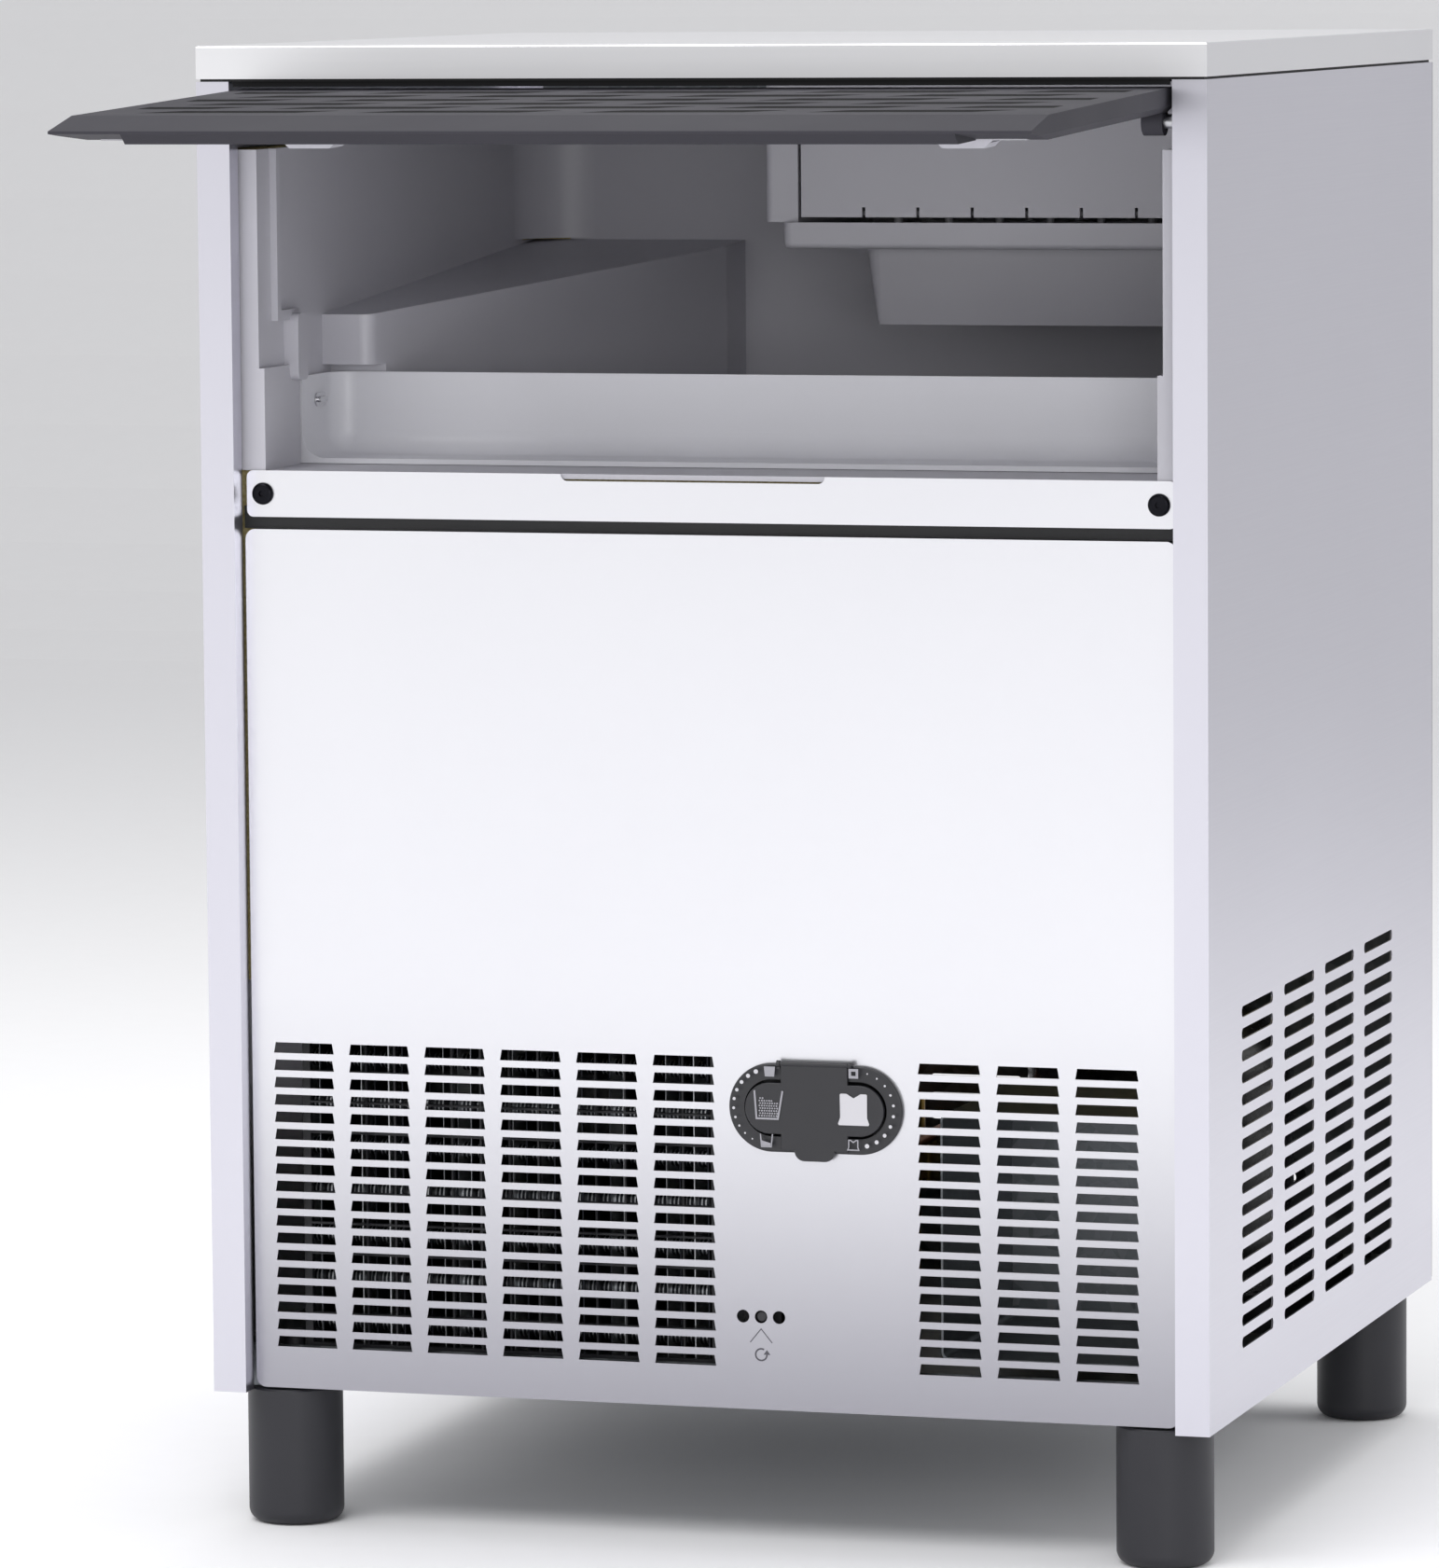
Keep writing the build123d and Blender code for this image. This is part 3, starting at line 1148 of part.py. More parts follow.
# condenser: fins on two rows of tube, with end plates
fin_low_x = -half_width + 45.0
fin_high_x = 0.0
fin_pitch = 8.5
fin_thickness = 0.8
fin_front_y = front_y + 40.0
fin_depth = 44.0
fin_low_z = base_z + 21.0
fin_height = 187.0
tube_radius = 4.8
tube_pitch = 26.0
tube_rows = 7
fin_count = int((fin_high_x - fin_low_x) / fin_pitch) + 1
fin_middle_y = fin_front_y + fin_depth / 2
fin_middle_z = fin_low_z + fin_height / 2
with BuildPart() as condenser:
    for fin in range(fin_count):
        with BuildSketch(Plane.YZ.offset(fin_low_x + fin * fin_pitch)):
            with Locations((fin_middle_y, fin_middle_z)):
                Rectangle(fin_depth, fin_height)
        extrude(amount=fin_thickness)
    with BuildSketch(Plane.YZ.offset(fin_low_x - 4)):
        with Locations((fin_middle_y, fin_middle_z)):
            with GridLocations(fin_depth / 2, tube_pitch, 2, tube_rows):
                Circle(tube_radius)
    extrude(amount=fin_high_x - fin_low_x + 8)
condenser.part.label = "condenser"
export_step(condenser.part, "parts/condenser.step")

filter_gap = 1.5
filter_frame = 8.0
filter_depth = 4.0
filter_bar = 1.2
filter_cells_x = 14
filter_cells_z = 10
filter_back_y = fin_front_y - filter_gap
filter_length = fin_high_x - fin_low_x
cell_x = (filter_length - filter_frame) / filter_cells_x
cell_z = (fin_height - filter_frame) / filter_cells_z
with BuildPart() as air_filter:
    with BuildSketch(Plane.XZ.offset(-filter_back_y)):
        with Locations(((fin_low_x + fin_high_x) / 2, fin_middle_z)):
            Rectangle(filter_length, fin_height)
            with GridLocations(cell_x, cell_z, filter_cells_x, filter_cells_z):
                Rectangle(cell_x - filter_bar, cell_z - filter_bar, mode=Mode.SUBTRACT)
    extrude(amount=filter_depth)
air_filter.part.label = "air_filter"
export_step(air_filter.part, "parts/air_filter.step")

shroud_front_y = fin_front_y + fin_depth + 0.5
shroud_depth = 34.0
shroud_sheet = 1.5
fan_x = (fin_low_x + fin_high_x) / 2
fan_z = fin_middle_z
fan_radius = 82.0
tip_gap = 4.0
with BuildPart() as fan_shroud:
    with BuildSketch(Plane.XZ.offset(-shroud_front_y)):
        with Locations((fan_x, fan_z)):
            Rectangle(filter_length, fin_height)
            Circle(fan_radius + tip_gap, mode=Mode.SUBTRACT)
    extrude(amount=-shroud_sheet)
    with BuildSketch(Plane.XZ.offset(-shroud_front_y)):
        with Locations((fan_x, fan_z)):
            Circle(fan_radius + tip_gap + shroud_sheet)
            Circle(fan_radius + tip_gap, mode=Mode.SUBTRACT)
    extrude(amount=-shroud_depth)
fan_shroud.part.label = "fan_shroud"
export_step(fan_shroud.part, "parts/fan_shroud.step")

hub_radius = 20.0
hub_length = 22.0
hub_front_y = shroud_front_y + 4.0
blade_count = 5
blade_width = 42.0
blade_thickness = 2.0
blade_pitch = 28.0
shaft_radius = 3.0
shaft_length = 16.0
blade_y = hub_front_y + hub_length / 2
with BuildPart() as fan_blade:
    with BuildSketch(Plane.XZ.offset(-hub_front_y)):
        with Locations((fan_x, fan_z)):
            Circle(hub_radius)
    extrude(amount=-hub_length)
    with BuildSketch(Plane.XZ.offset(-hub_front_y - hub_length)):
        with Locations((fan_x, fan_z)):
            Circle(shaft_radius)
    extrude(amount=-shaft_length)
    for blade in range(blade_count):
        angle = 360 * blade / blade_count
        outward = Vector(cos(radians(angle)), 0, sin(radians(angle)))
        across = Vector(-sin(radians(angle)), 0, cos(radians(angle)))
        tilt = radians(blade_pitch)
        chord = across * cos(tilt) + Vector(0, sin(tilt), 0)
        root = Vector(fan_x, blade_y, fan_z) + outward * hub_radius * 0.8
        with BuildSketch(Plane(root, x_dir=chord, z_dir=outward)):
            Rectangle(blade_width, blade_thickness)
        extrude(amount=fan_radius - hub_radius * 0.8 - tip_gap)
fan_blade.part.label = "fan_blade"
export_step(fan_blade.part, "parts/fan_blade.step")

motor_radius = 34.0
motor_length = 52.0
motor_front_y = shroud_front_y + shroud_depth + 1.0
foot_half = 16.0
with BuildPart() as fan_motor:
    with BuildSketch(Plane.XZ.offset(-motor_front_y)):
        with Locations((fan_x, fan_z)):
            Circle(motor_radius)
    extrude(amount=-motor_length)
    with BuildSketch(Plane.XZ.offset(-motor_front_y)):
        with Locations((fan_x, (space_floor_z + fan_z) / 2)):
            Rectangle(2 * foot_half, fan_z - space_floor_z)
    extrude(amount=-motor_length / 2)
    with BuildSketch(Plane.XZ.offset(-motor_front_y)):
        with Locations((fan_x, fan_z)):
            Circle(shaft_radius + running_gap)
    extrude(amount=-shaft_length, mode=Mode.SUBTRACT)
fan_motor.part.label = "fan_motor"
export_step(fan_motor.part, "parts/fan_motor.step")

drier_x = -60.0
drier_y = back_y - 90.0
drier_radius = 14.0
drier_low_z = base_z + 53.0
drier_length = 96.0
neck_radius = 4.0
with BuildPart() as filter_drier:
    with BuildSketch(Plane.XY.offset(drier_low_z)):
        with Locations((drier_x, drier_y)):
            Circle(drier_radius)
    extrude(amount=drier_length)
    fillet(filter_drier.edges().filter_by(GeomType.CIRCLE), 9)
    with BuildSketch(Plane.XY.offset(drier_low_z - 10)):
        with Locations((drier_x, drier_y)):
            Circle(neck_radius)
    extrude(amount=drier_length + 20)
filter_drier.part.label = "filter_drier"
export_step(filter_drier.part, "parts/filter_drier.step")

# copper lines: straight runs joined by bends
line_radius = 4.0
line_bend = 20.0
discharge_x = compressor_x - compressor_radius - 40.0
shell_offset = 50.0
shell_x = compressor_x - ((compressor_radius + 3) ** 2 - (shell_offset - line_radius) ** 2) ** 0.5 - gap
with BuildPart() as discharge_line:
    with BuildLine():
        FilletPolyline(
            (fin_high_x + 4, fin_middle_y - fin_depth / 4, fin_middle_z),
            (discharge_x, fin_middle_y - fin_depth / 4, fin_middle_z),
            (discharge_x, compressor_y - shell_offset, fin_middle_z),
            (shell_x, compressor_y - shell_offset, fin_middle_z),
            radius=line_bend,
        )
    with BuildSketch(Plane((fin_high_x + 4, fin_middle_y - fin_depth / 4, fin_middle_z), z_dir=(1, 0, 0))):
        Circle(line_radius)
    sweep()
discharge_line.part.label = "discharge_line"
export_step(discharge_line.part, "parts/discharge_line.step")

valve_x = -15.0
valve_y = back_y - 90.0
valve_z = base_z + 63.0
with BuildPart() as hot_gas_valve:
    with BuildSketch(Plane.XY.offset(valve_z)):
        with Locations((valve_x, valve_y)):
            RectangleRounded(34, 26, 3)
    extrude(amount=30)
    with BuildSketch(Plane.XY.offset(valve_z + 30)):
        with Locations((valve_x, valve_y)):
            Circle(9)
    extrude(amount=26)
    with BuildSketch(Plane.XY.offset(valve_z)):
        with Locations((valve_x, valve_y)):
            Circle(6)
    extrude(amount=-(valve_z - space_floor_z))
hot_gas_valve.part.label = "hot_gas_valve"
export_step(hot_gas_valve.part, "parts/hot_gas_valve.step")

# ---- controls ------------------------------------------------------------------------
bezel_recess_length = 85.0
bezel_recess_height = 33.0
bezel_floor = 2.5
bezel_front_y = panel_y - bezel_proud
bezel_back_y = panel_y + bezel_depth
body_length = bezel_length - 2 * cut_margin - 2 * gap
body_height = bezel_height - 2 * cut_margin - 2 * gap
with BuildPart() as control_bezel:
    with BuildSketch(Plane.XZ.offset(-panel_y)):
        with Locations((control_x, control_z)):
            SlotOverall(bezel_length, bezel_height)
    extrude(amount=bezel_proud)
    fillet(control_bezel.faces().sort_by(Axis.Y)[0].edges(), 1.2)
    with BuildSketch(Plane.XZ.offset(-panel_y)):
        with Locations((control_x, control_z)):
            SlotOverall(body_length, body_height)
    extrude(amount=-bezel_depth)
    with BuildSketch(Plane.XZ.offset(-bezel_front_y)):
        with Locations((control_x, control_z)):
            SlotOverall(bezel_recess_length, bezel_recess_height)
    extrude(amount=-(bezel_proud + bezel_depth - bezel_floor), mode=Mode.SUBTRACT)
    with BuildSketch(Plane.XZ.offset(-bezel_back_y)):
        with Locations((control_x, control_z)):
            with GridLocations(2 * knob_spread, 1, 2, 1):
                Circle(knob_shaft + running_gap)
    extrude(amount=bezel_floor, mode=Mode.SUBTRACT)
    # ears for the cover's hinge pins
    cover_half = 20.0
    ear_thickness = 2.0
    cover_pin_radius = 0.8
    cover_axis_y = bezel_front_y - 1.8
    cover_axis_z = control_z + bezel_height / 2 + 0.4
    knuckle_radius = 1.5
    for side in (-1, 1):
        with BuildSketch(Plane.YZ.offset(control_x + side * (cover_half + gap))):
            with Locations((cover_axis_y, cover_axis_z)):
                Circle(knuckle_radius + 0.4)
            with Locations((cover_axis_y + 0.9, cover_axis_z - 1.6)):
                Rectangle(3.0, 3.2)
            with Locations((cover_axis_y, cover_axis_z)):
                Circle(cover_pin_radius + running_gap, mode=Mode.SUBTRACT)
        extrude(amount=side * ear_thickness)
control_bezel.part.label = "control_bezel"
export_step(control_bezel.part, "parts/control_bezel.step")

for name, side in (("level_knob", -1), ("cube_knob", 1)):
    with BuildPart() as knob:
        with BuildSketch(Plane.XZ.offset(-bezel_back_y + bezel_floor + gap)):
            with Locations((control_x + side * knob_spread, control_z)):
                Circle(knob_radius)
        extrude(amount=bezel_depth - bezel_floor - 2 * gap)
        fillet(knob.faces().sort_by(Axis.Y)[0].edges(), 1.0)
        with BuildSketch(Plane.XZ.offset(-bezel_back_y + bezel_floor + gap)):
            with Locations((control_x + side * knob_spread, control_z)):
                Circle(knob_shaft)
        extrude(amount=-(bezel_floor + gap + 8.0))
        # pointer groove
        with BuildSketch(Plane.XZ.offset(-panel_y)):
            with Locations((control_x + side * knob_spread, control_z + knob_radius / 2)):
                Rectangle(1.6, knob_radius)
        extrude(amount=-2.0, mode=Mode.SUBTRACT)
    knob.part.label = name
    export_step(knob.part, "parts/" + name + ".step")

cover_thickness = 2.4
cover_lobe_length = 83.0
cover_lobe_height = 29.6
tab_width = 24.0
tab_below = 6.0
cover_back_y = bezel_front_y - gap
cover_low_z = control_z - bezel_height / 2 + 1.6
with BuildPart() as control_cover:
    with BuildSketch(Plane.XZ.offset(-cover_back_y)):
        with Locations((control_x, control_z)):
            SlotOverall(cover_lobe_length, cover_lobe_height)
        with Locations((control_x, (cover_axis_z + cover_low_z) / 2)):
            Rectangle(2 * cover_half, cover_axis_z - cover_low_z)
        with Locations((control_x, cover_low_z)):
            SlotOverall(tab_width, 2 * tab_below)
    extrude(amount=cover_thickness)
    fillet(control_cover.faces().sort_by(Axis.Y)[0].edges(), 0.7)
    with BuildSketch(Plane.YZ.offset(control_x - cover_half)):
        with Locations((cover_axis_y, cover_axis_z)):
            Circle(knuckle_radius)
    extrude(amount=2 * cover_half)
    with BuildSketch(Plane.YZ.offset(control_x - cover_half - gap - ear_thickness)):
        with Locations((cover_axis_y, cover_axis_z)):
            Circle(cover_pin_radius)
    extrude(amount=2 * (cover_half + gap + ear_thickness))
control_cover.part.label = "control_cover"
export_step(control_cover.part, "parts/control_cover.step")

board_y = bezel_back_y + 8.0
with BuildPart() as control_board:
    with BuildSketch(Plane.XZ.offset(-board_y)):
        with Locations((control_x, control_z)):
            RectangleRounded(90, 46, 3)
    extrude(amount=-1.6)
    with BuildSketch(Plane.XZ.offset(-board_y)):
        with Locations((control_x, control_z)):
            with GridLocations(2 * knob_spread, 1, 2, 1):
                Circle(9.0)
                Circle(knob_shaft + running_gap, mode=Mode.SUBTRACT)
    extrude(amount=6.0)
    with BuildSketch(Plane.XZ.offset(-board_y - 1.6)):
        with Locations((control_x, control_z)):
            Rectangle(40, 24)
    extrude(amount=-12)
    # the shafts' ends
    with BuildSketch(Plane.XZ.offset(-board_y)):
        with Locations((control_x, control_z)):
            with GridLocations(2 * knob_spread, 1, 2, 1):
                Circle(knob_shaft + running_gap)
    extrude(amount=-1.6, mode=Mode.SUBTRACT)
control_board.part.label = "control_board"
export_step(control_board.part, "parts/control_board.step")

switch_gap = 3.0
switch_depth = 26.0
button_travel = 2.5
with BuildPart() as reset_switch:
    with BuildSketch(Plane.XZ.offset(-panel_y - sheet - switch_gap)):
        with Locations((reset_x, reset_z)):
            RectangleRounded(22, 18, 2)
    extrude(amount=-switch_depth)
    with BuildSketch(Plane.XZ.offset(-panel_y - sheet - switch_gap)):
        with Locations((reset_x, reset_z)):
            Circle(reset_button_radius + running_gap)
    extrude(amount=-(switch_depth / 2), mode=Mode.SUBTRACT)
reset_switch.part.label = "reset_switch"
export_step(reset_switch.part, "parts/reset_switch.step")

with BuildPart() as reset_button:
    with BuildSketch(Plane.XZ.offset(-panel_y - sheet)):
        with Locations((reset_x, reset_z)):
            Circle(reset_button_radius)
    extrude(amount=-(switch_gap + switch_depth / 2 - button_travel - gap))
    fillet(reset_button.faces().sort_by(Axis.Y)[0].edges(), 0.6)
reset_button.part.label = "reset_button"
export_step(reset_button.part, "parts/reset_button.step")

box_high_x = half_width - 38.0
box_low_x = box_high_x - 127.0
box_front_y = panel_y + panel_return + 4.0
box_depth = 152.0
box_low_z = base_z + 33.0
box_height = 142.0
with BuildPart() as control_box:
    with BuildSketch(Plane.XZ.offset(-box_front_y)):
        with Locations(((box_low_x + box_high_x) / 2, box_low_z + box_height / 2)):
            RectangleRounded(box_high_x - box_low_x, box_height, 4)
    extrude(amount=-box_depth)
    with BuildSketch(Plane.XZ.offset(-box_front_y)):
        with Locations(((box_low_x + box_high_x) / 2, box_low_z + box_height / 2)):
            RectangleRounded(box_high_x - box_low_x - 2 * sheet, box_height - 2 * sheet, 3)
    extrude(amount=-box_depth + sheet, mode=Mode.SUBTRACT)
control_box.part.label = "control_box"
export_step(control_box.part, "parts/control_box.step")

# ---- services ------------------------------------------------------------------------
valve_block = 38.0
with BuildPart() as water_inlet_valve:
    with BuildSketch(Plane.XZ.offset(-back_y - service_proud)):
        with Locations((inlet_x, inlet_z)):
            Circle(inlet_radius)
    extrude(amount=service_proud + 3.0)
    with BuildSketch(Plane.XZ.offset(-back_y - service_proud)):
        with Locations((inlet_x, inlet_z)):
            Circle(inlet_radius - 4.0)
    extrude(amount=service_proud, mode=Mode.SUBTRACT)
    with BuildSketch(Plane.XZ.offset(-back_y + 3.0)):
        with Locations((inlet_x, inlet_z)):
            RectangleRounded(valve_block, valve_block, 4)
    extrude(amount=30.0)
    with BuildSketch(Plane.XZ.offset(-back_y + 33.0)):
        with Locations((inlet_x, inlet_z)):
            Circle(12)
    extrude(amount=26.0)
water_inlet_valve.part.label = "water_inlet_valve"
export_step(water_inlet_valve.part, "parts/water_inlet_valve.step")

drain_bore = 8.0
drain_top_y = back_y - 140.0
with BuildPart() as drain_pipe:
    with BuildLine():
        FilletPolyline(
            (drain_x, back_y + service_proud, drain_z),
            (drain_x, drain_top_y, drain_z),
            (drain_x, drain_top_y, board_low_z),
            radius=30,
        )
    with BuildSketch(Plane((drain_x, back_y + service_proud, drain_z), z_dir=(0, -1, 0))):
        Circle(drain_radius)
        Circle(drain_bore, mode=Mode.SUBTRACT)
    sweep()
drain_pipe.part.label = "drain_pipe"
export_step(drain_pipe.part, "parts/drain_pipe.step")

gland_length = 16.0
gland_nut = 14.0
with BuildPart() as cord_gland:
    with BuildSketch(Plane.XZ.offset(-back_y)):
        with Locations((cord_x, cord_z)):
            RegularPolygon(gland_nut, 6)
    extrude(amount=-gland_length / 2)
    with BuildSketch(Plane.XZ.offset(-back_y)):
        with Locations((cord_x, cord_z)):
            Circle(gland_radius - gap)
    extrude(amount=gland_length / 2)
    with BuildSketch(Plane.XZ.offset(-back_y)):
        with Locations((cord_x, cord_z)):
            Circle(cord_bore)
    extrude(amount=gland_length, both=True, mode=Mode.SUBTRACT)
cord_gland.part.label = "cord_gland"
export_step(cord_gland.part, "parts/cord_gland.step")
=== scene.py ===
import json
from math import cos, pi, radians, sin

import bpy
import numpy as np
from mathutils import Matrix, Vector


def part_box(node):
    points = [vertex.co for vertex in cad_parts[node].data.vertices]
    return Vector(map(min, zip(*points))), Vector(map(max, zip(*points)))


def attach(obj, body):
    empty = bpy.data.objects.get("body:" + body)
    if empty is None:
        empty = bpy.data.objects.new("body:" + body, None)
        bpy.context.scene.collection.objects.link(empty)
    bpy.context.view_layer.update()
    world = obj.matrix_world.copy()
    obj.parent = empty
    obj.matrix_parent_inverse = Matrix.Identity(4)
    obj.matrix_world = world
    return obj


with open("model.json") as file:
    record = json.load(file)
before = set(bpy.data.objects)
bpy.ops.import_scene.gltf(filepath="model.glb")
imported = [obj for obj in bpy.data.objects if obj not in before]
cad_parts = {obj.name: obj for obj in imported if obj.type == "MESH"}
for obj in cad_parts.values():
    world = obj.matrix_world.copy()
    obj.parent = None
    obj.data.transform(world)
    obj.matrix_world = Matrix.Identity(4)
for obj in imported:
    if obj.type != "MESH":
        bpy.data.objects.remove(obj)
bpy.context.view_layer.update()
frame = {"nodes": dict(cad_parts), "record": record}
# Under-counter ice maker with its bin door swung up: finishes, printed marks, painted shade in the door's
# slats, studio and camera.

nodes = frame["nodes"]
record = frame["record"]
slotOf = {part["node"]: part["material_slot"] for part in record["subparts"]}
mm = 0.001
print("frame loaded:", len(nodes), "pieces")


# Colours and shader nodes.

def linear(code):
    # sRGB hex to linear: c / 12.92 up to 0.04045, else ((c + 0.055) / 1.055) ** 2.4
    channels = [int(code[i:i + 2], 16) / 255 for i in (1, 3, 5)]
    return [c / 12.92 if c <= 0.04045 else ((c + 0.055) / 1.055) ** 2.4 for c in channels] + [1.0]


def addNode(tree, kind, inputs=None, **settings):
    # inputs: a socket to link from, or a value; settings: the node's own properties
    node = tree.nodes.new("ShaderNode" + kind)
    for name, value in settings.items():
        setattr(node, name, value)
    for name, value in (inputs or {}).items():
        if isinstance(value, bpy.types.NodeSocket):
            tree.links.new(value, node.inputs[name])
        else:
            node.inputs[name].default_value = value
    return node


def startMaterial(name, look):
    # a Principled surface with the look's plain values; returns the material, its tree and its shader
    material = bpy.data.materials.new(name)
    material.use_nodes = True
    tree = material.node_tree
    tree.nodes.clear()
    shader = addNode(tree, "BsdfPrincipled", {
        "Base Color": linear(look["colour"]),
        "Metallic": look.get("metallic", 0.0),
        "Roughness": look["roughness"],
    })
    if "ior" in look:
        shader.inputs["IOR"].default_value = look["ior"]
    if "sheen" in look:
        # how much of the plain reflection is left on a matt surface
        shader.inputs["Specular IOR Level"].default_value = look["sheen"]
    addNode(tree, "OutputMaterial", {"Surface": shader.outputs["BSDF"]})
    return material, tree, shader


def objectAxis(tree, axis):
    # one axis of the Object coordinates, in metres
    place = addNode(tree, "TexCoord")
    return addNode(tree, "SeparateXYZ", {"Vector": place.outputs["Object"]}).outputs[axis]


def objectPattern(tree, kind, stretch, **values):
    # a texture on Object coordinates; stretch is how many pattern cells fit in a metre along X, Y and Z
    place = addNode(tree, "TexCoord")
    mapping = addNode(tree, "Mapping", {"Vector": place.outputs["Object"], "Scale": stretch})
    return addNode(tree, kind, {"Vector": mapping.outputs["Vector"], "Scale": 1.0, **values})


def spread(tree, source, low, high, fromLow=0.3, fromHigh=0.7):
    # low to high as the source goes from fromLow to fromHigh
    return addNode(tree, "MapRange", {
        "Value": source, "From Min": fromLow, "From Max": fromHigh, "To Min": low, "To Max": high,
    }).outputs["Result"]


def tint(tree, factor, first, second):
    # mixes two colours by the factor; each is a hex code or a colour socket
    mix = addNode(tree, "Mix", {"Factor": factor}, data_type="RGBA")
    for place, colour in ((6, first), (7, second)):
        if isinstance(colour, bpy.types.NodeSocket):
            tree.links.new(colour, mix.inputs[place])
        else:
            mix.inputs[place].default_value = linear(colour)
    return mix.outputs[2]


def twoTone(tree, shader, factor, look):
    # from the look's deep colour to its plain one as the factor grows
    tree.links.new(tint(tree, factor, look["deep"], look["colour"]), shader.inputs["Base Color"])


def unevenGloss(tree, shader, source, look, **reach):
    # the roughness strays by the look's unevenness either way, along with the source
    smooth, dull = look["roughness"] - look["unevenness"], look["roughness"] + look["unevenness"]
    tree.links.new(spread(tree, source, smooth, dull, **reach), shader.inputs["Roughness"])


def relief(tree, shader, height, depth):
    # a bump of that depth in metres
    bump = addNode(tree, "Bump", {"Height": height, "Distance": depth, "Strength": 1.0})
    tree.links.new(bump.outputs["Normal"], shader.inputs["Normal"])


# Finishes, one for each material slot of the record.

steelLook = {
    "colour": "#e2e2e6", "deep": "#dcdce1", "roughness": 0.3, "metallic": 1.0,
    "grain": 0.7 * mm,  # pitch of the brush lines
    "run": 120 * mm,  # length of one brush line
    "grainDepth": 0.0004 * mm,
    "unevenness": 0.02,  # how far the roughness strays between the lines
    "clouds": 3.0,  # patches of slightly deeper grey in a metre
}


def brushedSteel(name, along, look):
    # stainless sheet, ground on a belt: long fine lines along one axis that stretch every reflection
    material, tree, shader = startMaterial(name, look)
    fine, long = 1 / look["grain"], 1 / look["run"]
    stretch = tuple(long if axis == along else fine for axis in "xyz")
    lines = objectPattern(tree, "TexNoise", stretch, Detail=2.0).outputs["Fac"]
    clouds = objectPattern(tree, "TexNoise", (look["clouds"],) * 3, Detail=3.0).outputs["Fac"]
    sheet = tint(tree, clouds, look["deep"], look["colour"])
    if "lowShade" in look:
        # stands in for a darker ground mirrored in the sheet: none at shadeTop, full at shadeLow, in metres
        shade = addNode(tree, "MapRange", {
            "Value": objectAxis(tree, "Z"), "From Min": look["shadeTop"], "From Max": look["shadeLow"],
        }, interpolation_type="SMOOTHSTEP").outputs["Result"]
        sheet = tint(tree, shade, sheet, look["lowShade"])
    tree.links.new(sheet, shader.inputs["Base Color"])
    unevenGloss(tree, shader, lines, look)
    relief(tree, shader, lines, look["grainDepth"])
    return material


zincLook = {
    "colour": "#8b8e92", "deep": "#6f7377", "roughness": 0.42, "metallic": 1.0,
    "spangle": 9 * mm,  # width of one zinc crystal
    "unevenness": 0.08,
}


def galvanisedSteel(name, look):
    # hot-dip galvanised sheet: angular zinc crystals, each a slightly different grey
    material, tree, shader = startMaterial(name, look)
    cells = objectPattern(tree, "TexVoronoi", (1 / look["spangle"],) * 3)
    grey = addNode(tree, "SeparateColor", {"Color": cells.outputs["Color"]}).outputs["Red"]
    twoTone(tree, shader, grey, look)
    unevenGloss(tree, shader, grey, look, fromLow=0, fromHigh=1)
    return material


mouldLook = {
    "ior": 1.53,
    "clouds": 9.0,  # flow clouds in a metre
    "unevenness": 0.05,
}


def mouldedPlastic(name, look):
    # injection moulded plastic: spark-eroded grain of the mould, faint flow clouds
    look = {**mouldLook, **look}
    material, tree, shader = startMaterial(name, look)
    grain = objectPattern(tree, "TexNoise", (1 / look["grain"],) * 3, Detail=2.0).outputs["Fac"]
    clouds = objectPattern(tree, "TexNoise", (look["clouds"],) * 3, Detail=3.0).outputs["Fac"]
    twoTone(tree, shader, clouds, look)
    unevenGloss(tree, shader, clouds, look)
    relief(tree, shader, grain, look["grainDepth"])
    return material


enamelLook = {"ior": 1.5, "unevenness": 0.04, "peelDepth": 0.01 * mm}


def paintedMetal(name, look):
    # stoved enamel on a pressing: gloss with slight orange peel
    look = {**enamelLook, **look}
    material, tree, shader = startMaterial(name, look)
    peel = objectPattern(tree, "TexNoise", (1 / look["peel"],) * 3, Detail=1.0).outputs["Fac"]
    twoTone(tree, shader, peel, look)
    unevenGloss(tree, shader, peel, look)
    relief(tree, shader, peel, look["peelDepth"])
    return material


bareMetalLook = {
    "metallic": 1.0,
    "patches": 60.0,  # patches of tarnish in a metre
    "duller": 0.08, "brighter": 0.05,  # roughness added in the deep patches and taken off between them
}


def wornMetal(name, look):
    # drawn or turned metal with handling marks and a little tarnish in patches
    look = {**bareMetalLook, **look}
    material, tree, shader = startMaterial(name, look)
    patches = objectPattern(tree, "TexNoise", (look["patches"],) * 3, Detail=5.0).outputs["Fac"]
    twoTone(tree, shader, patches, look)
    dull, smooth = look["roughness"] + look["duller"], look["roughness"] - look["brighter"]
    tree.links.new(spread(tree, patches, dull, smooth), shader.inputs["Roughness"])
    return material


foamLook = {
    "colour": "#dccf9c", "deep": "#b9a770", "roughness": 0.85,
    "cell": 2.2 * mm, "cellDepth": 0.4 * mm,
}


def foamedPlastic(name, look):
    # rigid polyurethane foam: closed cells under a thin skin
    material, tree, shader = startMaterial(name, look)
    cells = objectPattern(tree, "TexVoronoi", (1 / look["cell"],) * 3).outputs["Distance"]
    tree.links.new(tint(tree, cells, look["colour"], look["deep"]), shader.inputs["Base Color"])
    relief(tree, shader, cells, look["cellDepth"])
    return material


finLook = {
    # the deep colour is painted shade in the gaps between the fins
    "colour": "#c6c8cb", "deep": "#33353a", "roughness": 0.4, "metallic": 1.0,
    "pitch": 2.4 * mm,  # from fin to fin
    "fin": 0.35,  # share of the pitch that a fin takes
    "finDepth": 0.5 * mm,
}


